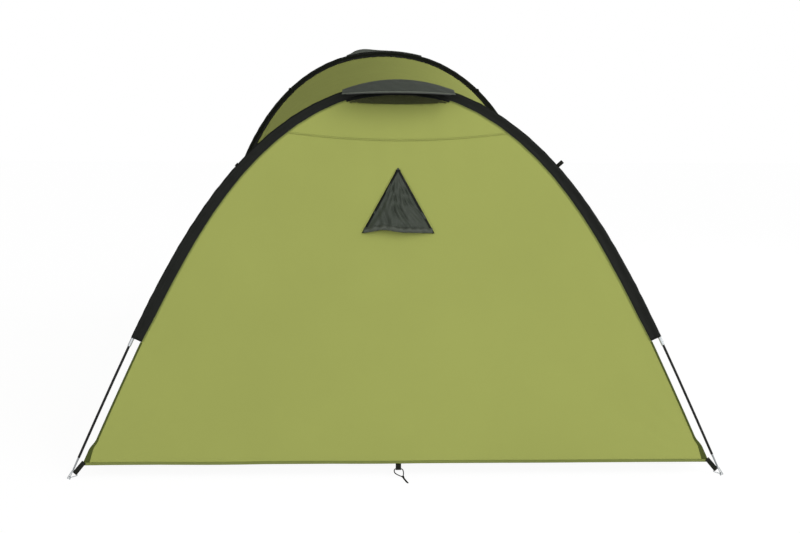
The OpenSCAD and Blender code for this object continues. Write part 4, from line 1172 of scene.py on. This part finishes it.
def peg_frames():
    """Each peg loop's name and body, how far its hem leans in, and the way from its frame to the tent's."""
    rear_y = foot_y[REAR] + hem_line * math.tan(lean) - 0.004
    yield "rear_peg_loop", "rear_hoop", math.tan(lean), lambda p: p + (0, rear_y, 0)
    yield "front_peg_loop", "front_hoop", 0.0, lambda p: p * (-1, -1, 1) + (0, foot_y[FRONT] + 0.004, 0)
    for side, word in sides:
        for y, near in ((-peg_spread, "rear"), (peg_spread, "front")):
            hem_x = canopy_at(1.0, (y - foot_y[REAR]) / (foot_y[FRONT] - foot_y[REAR]))[..., 0]
            x = side * (float(hem_x) + 0.0032)
            yield word + "_" + near + "_peg_loop", "tent_base", 0.42, lambda p: np.stack(
                [x - side * p[..., 1], y + side * p[..., 0], p[..., 2]], -1)


for word, holder, rise, peg_frame in peg_frames():
    tab(word, lambda p: peg_frame(p + (0, 0, hem_height - 0.002)), 0.022, 0.02, word)
    spun(word + "_cord", peg_frame, np.array(cord_route) / 1000, 0.0019, word, closed=True)
    spun(word + "_knot", peg_frame, np.array(knot_turns) / 1000, 0.002, word)
    spun(word + "_tail", peg_frame, np.array(tail) / 1000 + (0, 0, 0.0003), 0.0018, word)
    spun(word + "_short_tail", peg_frame, np.array(tail[1:]) / 1000 + (-0.0036, 0.0016, 0.0003), 0.0018, word)
    # The sewn end of the tab, flat behind the hem
    line = np.array([(0, 0.0004, -0.0025), (0, 0.005, -0.0024), (0, 0.0085, 0.0005),
                     (0, 0.0085 + rise * 0.01, 0.0105)]) + (0, 0, hem_height)
    root = sweep(word + "_root", peg_frame(line), across_x(peg_frame, line), block_section(0.01, 0.0007),
                 webbing)
    fixed(root, holder, "webbing_black")

# ---- Corners ----
# A webbing strap at each corner of the fly, looped round a bent steel ring that the pole's pin
# passes through, and sewn to a doubled patch of the cloth.
ring_a, ring_c = np.array((-0.031, -0.005, 0.011)), np.array((-0.013, -0.01, 0.031))
ring_side = (ring_c - ring_a) / np.linalg.norm(ring_c - ring_a)
ring_r, layer = 0.0026, np.array((0, 0.0012, 0))
round_ring = np.radians(np.arange(-20, 201, 20))
strap_end = ((-0.054, 0.045), (-0.041, 0.058))
middle = (ring_a + ring_c) / 2
for h, name in hoops:
    for side, word in sides:
        # In the frame of the feet: x outwards from this foot, -y out of the tent
        fall_back = math.tan(lean) if h == REAR else 0.0
        end_low, end_high = (np.array((x, z * fall_back - 0.0024, z)) for x, z in strap_end)
        end_mid = (end_low + end_high) / 2
        end_side = (end_high - end_low) / np.linalg.norm(end_high - end_low)
        pull = end_mid - middle
        pull -= ring_side * (pull @ ring_side)
        pull /= np.linalg.norm(pull)
        over = np.cross(ring_side, pull)
        over *= -1 if over[1] > 0 else 1
        bend = [middle + ring_r * (over * math.cos(a) - pull * math.sin(a)) for a in round_ring]
        sewn_end = end_mid + (end_mid - middle) * 0.16 + (0, -0.0004, 0)
        path = [sewn_end, end_mid, (end_mid + bend[0]) / 2] + bend
        path = smooth(path + [(end_mid + bend[-1] + layer) / 2, end_mid + layer], 3)
        along_it = np.linalg.norm(path - middle, axis=1) / np.linalg.norm(end_mid - middle)
        across = ring_side + (end_side - ring_side) * ease(along_it)[:, None]

        def foot_frame(p):
            """From this foot's frame to the tent's."""
            p = (p + (half_span, 0, 0)) * (side, 1, 1)
            return p * ((1, 1, 1) if h == REAR else (-1, -1, 1)) + (0, foot_y[h], foot_z)

        strap = sweep(name + "_" + word + "_corner_strap", foot_frame(path),
                      foot_frame(path + across) - foot_frame(path), webbing_section(0.017), webbing)
        fixed(strap, "tent_base", "webbing_black", *(["corner_webbing"] if h == REAR and side < 0 else []))
        # The doubled patch, cut as a wedge between the hem and the leg
        relief = rear_relief if h == REAR else front_relief
        inward, up = spread((0, 1), (0, 1), 16, 12)
        z = hem_line + 0.009 + up * 0.1
        x = half_width(h, z) - 0.006 - inward * (1 - up * 0.97) * 0.017
        patch, _ = panel(name + "_" + word + "_corner_patch", h, np.stack([side * x, z], -1),
                         lambda x, z: relief(x, z) - 0.001, edge_olive, thick=0.0006)
        fixed(patch, name + "_hoop", "hem_olive")

# ---- Groundsheet ----
# A plain sheet of woven polyethylene that lies under the living space and the bedroom, flat but for
# low waves. Its edges are turned over and stitched.
sheet_grey = woven("woven_polyethylene", "#3c4149", 3.0, roughness=0.5, sheen=0.0, cloud=0.04, crease_mm=0.8,
                   crease_size=0.1)
thread_grey = woven("grey_thread", "#6a6e74", 1.0, roughness=0.7, crease_mm=0.0)
sheet_half, sheet_from, sheet_to = 1.135, foot_y[REAR] + 0.178, foot_y[FRONT] - 0.03


def laid(name, low, high, z, rows, cols, material):
    """A flat sheet of cloth lying level between two corners, with low waves."""
    x, y = spread((low[0], high[0]), (low[1], high[1]), rows, cols)
    edge = ease(np.minimum(np.minimum(x - low[0], high[0] - x), np.minimum(y - low[1], high[1] - y)) / 0.05)
    at = np.stack([x, y], -1)
    wave = edge * 0.0005 * (0.6 * ripple(91, at, 0.5) + 0.4 * ripple(92, at, 0.17))
    return cut_cloth(name, np.stack([x, y, z + wave], -1), at, grid_faces(rows, cols), material, 0.0006)


sheet = laid("groundsheet_cloth", (-sheet_half, sheet_from), (sheet_half, sheet_to), 0.001, 90, 64,
             sheet_grey)
fixed(sheet, "tent_base", "groundsheet_grey", "groundsheet")
corners = [np.array(c) for c in ((-sheet_half, sheet_from), (sheet_half, sheet_from),
                                 (sheet_half, sheet_to), (-sheet_half, sheet_to))]
w, t = 0.0095, 0.0004
edge_outline = [(-w, -t), (w, -t), (w, t * 0.6), (w * 0.8, t), (-w * 0.8, t), (-w, t * 0.6)]
inset = 0.017
rows = []
for k in range(4):
    a, b = corners[k], corners[(k + 1) % 4]
    way = (b - a) / np.linalg.norm(b - a)
    inward = np.array((-way[1], way[0]))
    line = np.insert(np.linspace(a + inward * 0.01, b + inward * 0.01, 40), 2, 0.0017, axis=1)
    edge = sweep("groundsheet_edge_%d" % k, line, (*inward, 0), edge_outline, sheet_grey)
    fixed(edge, "tent_base", "groundsheet_grey")
    start, stop = a + (way + inward) * inset, b + (inward - way) * inset
    rows.append(np.linspace(np.append(start, 0.0023), np.append(stop, 0.0023), 60))
stitches("groundsheet_stitches", rows, "tent_base", thread_grey, "groundsheet_grey", pitch=0.009,
         length=0.006)

# ---- Bedroom ----
# An inner tent of uncoated white cloth hung from the canopy by elastic cords with hooks. Its tray
# floor is coated polyethylene, and the wall towards the living space is fine netting.
bed_y, bed_len, bed_half, bed_h, bed_top_half = foot_y[REAR] + 0.183, 1.97, 1.02, 1.18, 0.36
bed_front, back_shift, wall_foot = bed_y + bed_len, bed_h * math.tan(lean), 0.0048
breathable = woven("uncoated_polyester", "#d8d6c8", 1.0, roughness=0.75, sheen=0.2, cloud=0.02, crease_mm=1.2,
                   crease_size=0.1)
tray_grey = woven("coated_tray_cloth", "#54575c", 2.4, roughness=0.45, sheen=0.0, cloud=0.04, crease_mm=0.8,
                  crease_size=0.09)
insect_net = knitted("fine_insect_netting", "#8f9089", 0.0016, 0.5, 0.25, {"Roughness": 0.8})
# Each pair runs from the left to the right
rear_feet, front_feet = ([(side * bed_half, y, wall_foot) for side, _ in sides] for y in (bed_y, bed_front))
rear_tops, front_tops = ([(side * bed_top_half, y, bed_h) for side, _ in sides]
                         for y in (bed_y + back_shift, bed_front))


def hung(name, node, slot_name, corners, wave, sag, seed, material):
    """A panel of the bedroom between four corners: slack in the middle, straight along its seams."""
    rows, cols = 44, 60
    a, b, c, d = np.array(corners, float)
    u, v = spread((0, 1), (0, 1), rows, cols)
    bow = 16 * u * (1 - u) * v * (1 - v)
    at = np.stack([u * np.linalg.norm(b - a), v * np.linalg.norm(d - a)], -1)
    slack = wave * (ripple(seed, at, 0.5) + 0.4 * ripple(seed + 1, at, 0.16)) * ease(bow * 2.5)
    normal = np.cross(b - a, d - a)
    normal /= np.linalg.norm(normal)
    u, v = u[..., None], v[..., None]
    p = (a * (1 - u) + b * u) * (1 - v) + (d * (1 - u) + c * u) * v + normal * (slack - sag * bow)[..., None]
    made = cut_cloth(name, p, at, grid_faces(rows, cols), material, 0.0006)
    fixed(made, "tent_base", slot_name, node)
    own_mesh(made)


right_corners = (rear_feet[1], front_feet[1], front_tops[1], rear_tops[1])
left_corners = (front_feet[0], rear_feet[0], rear_tops[0], front_tops[0])
for word, corners, seed in (("right", right_corners, 102), ("left", left_corners, 100)):
    hung("bedroom_" + word + "_cloth", "bedroom_" + word + "_wall", "bedroom_cloth", corners, 0.006, 0.012,
         seed, breathable)
hung("bedroom_roof_cloth", "bedroom_roof", "bedroom_cloth", (*rear_tops, *front_tops[::-1]), 0.004, 0.02, 111,
     breathable)
hung("bedroom_rear_cloth", "bedroom_rear_wall", "bedroom_cloth", (*rear_feet, *rear_tops[::-1]), 0.005, 0.004,
     121, breathable)
hung("bedroom_netting", "bedroom_door", "bedroom_mesh", (*front_feet[::-1], *front_tops), 0.006, 0.004, 131,
     insect_net)
tray = laid("bedroom_tray", (-bed_half, bed_y), (bed_half, bed_front), 0.0034, 60, 60, tray_grey)
fixed(tray, "tent_base", "bedroom_tray", "bedroom_floor")

# Three pairs of thin cords, each with a thicker plastic hook at its end
cord_r, hook_r, hook_bend = 0.0013, 0.0017, 0.008
round_hook = np.radians(np.arange(180, -61, -20))
hook = [(hook_bend * (1 + math.cos(a)), 0.066 + hook_bend * math.sin(a)) for a in round_hook]
cord = [(0, 0), (0, 0.02), (0, 0.044), (0, 0.058)]
hangers = []
for y in (bed_y + back_shift + 0.06, (bed_y + back_shift + bed_front) / 2, bed_front - 0.04):
    for side, _ in sides:
        start = np.array((side * (bed_top_half - 0.012), y, bed_h + 0.0015))
        path = np.array([start + (side * x, 0, z) for x, z in cord + hook])
        radius = np.where(path[:, 2] < bed_h + 0.05, cord_r, hook_r)
        hangers.append(sweep("hanger", path, (0, 1, 0), round_section(10) * radius[:, None, None], elastic))
with bpy.context.temp_override(active_object=hangers[0], selected_editable_objects=hangers):
    bpy.ops.object.join()
hangers[0].name = "bedroom_hanger_cords"
fixed(hangers[0], "tent_base", "elastic_cord", "bedroom_hangers")
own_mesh(hangers[0])
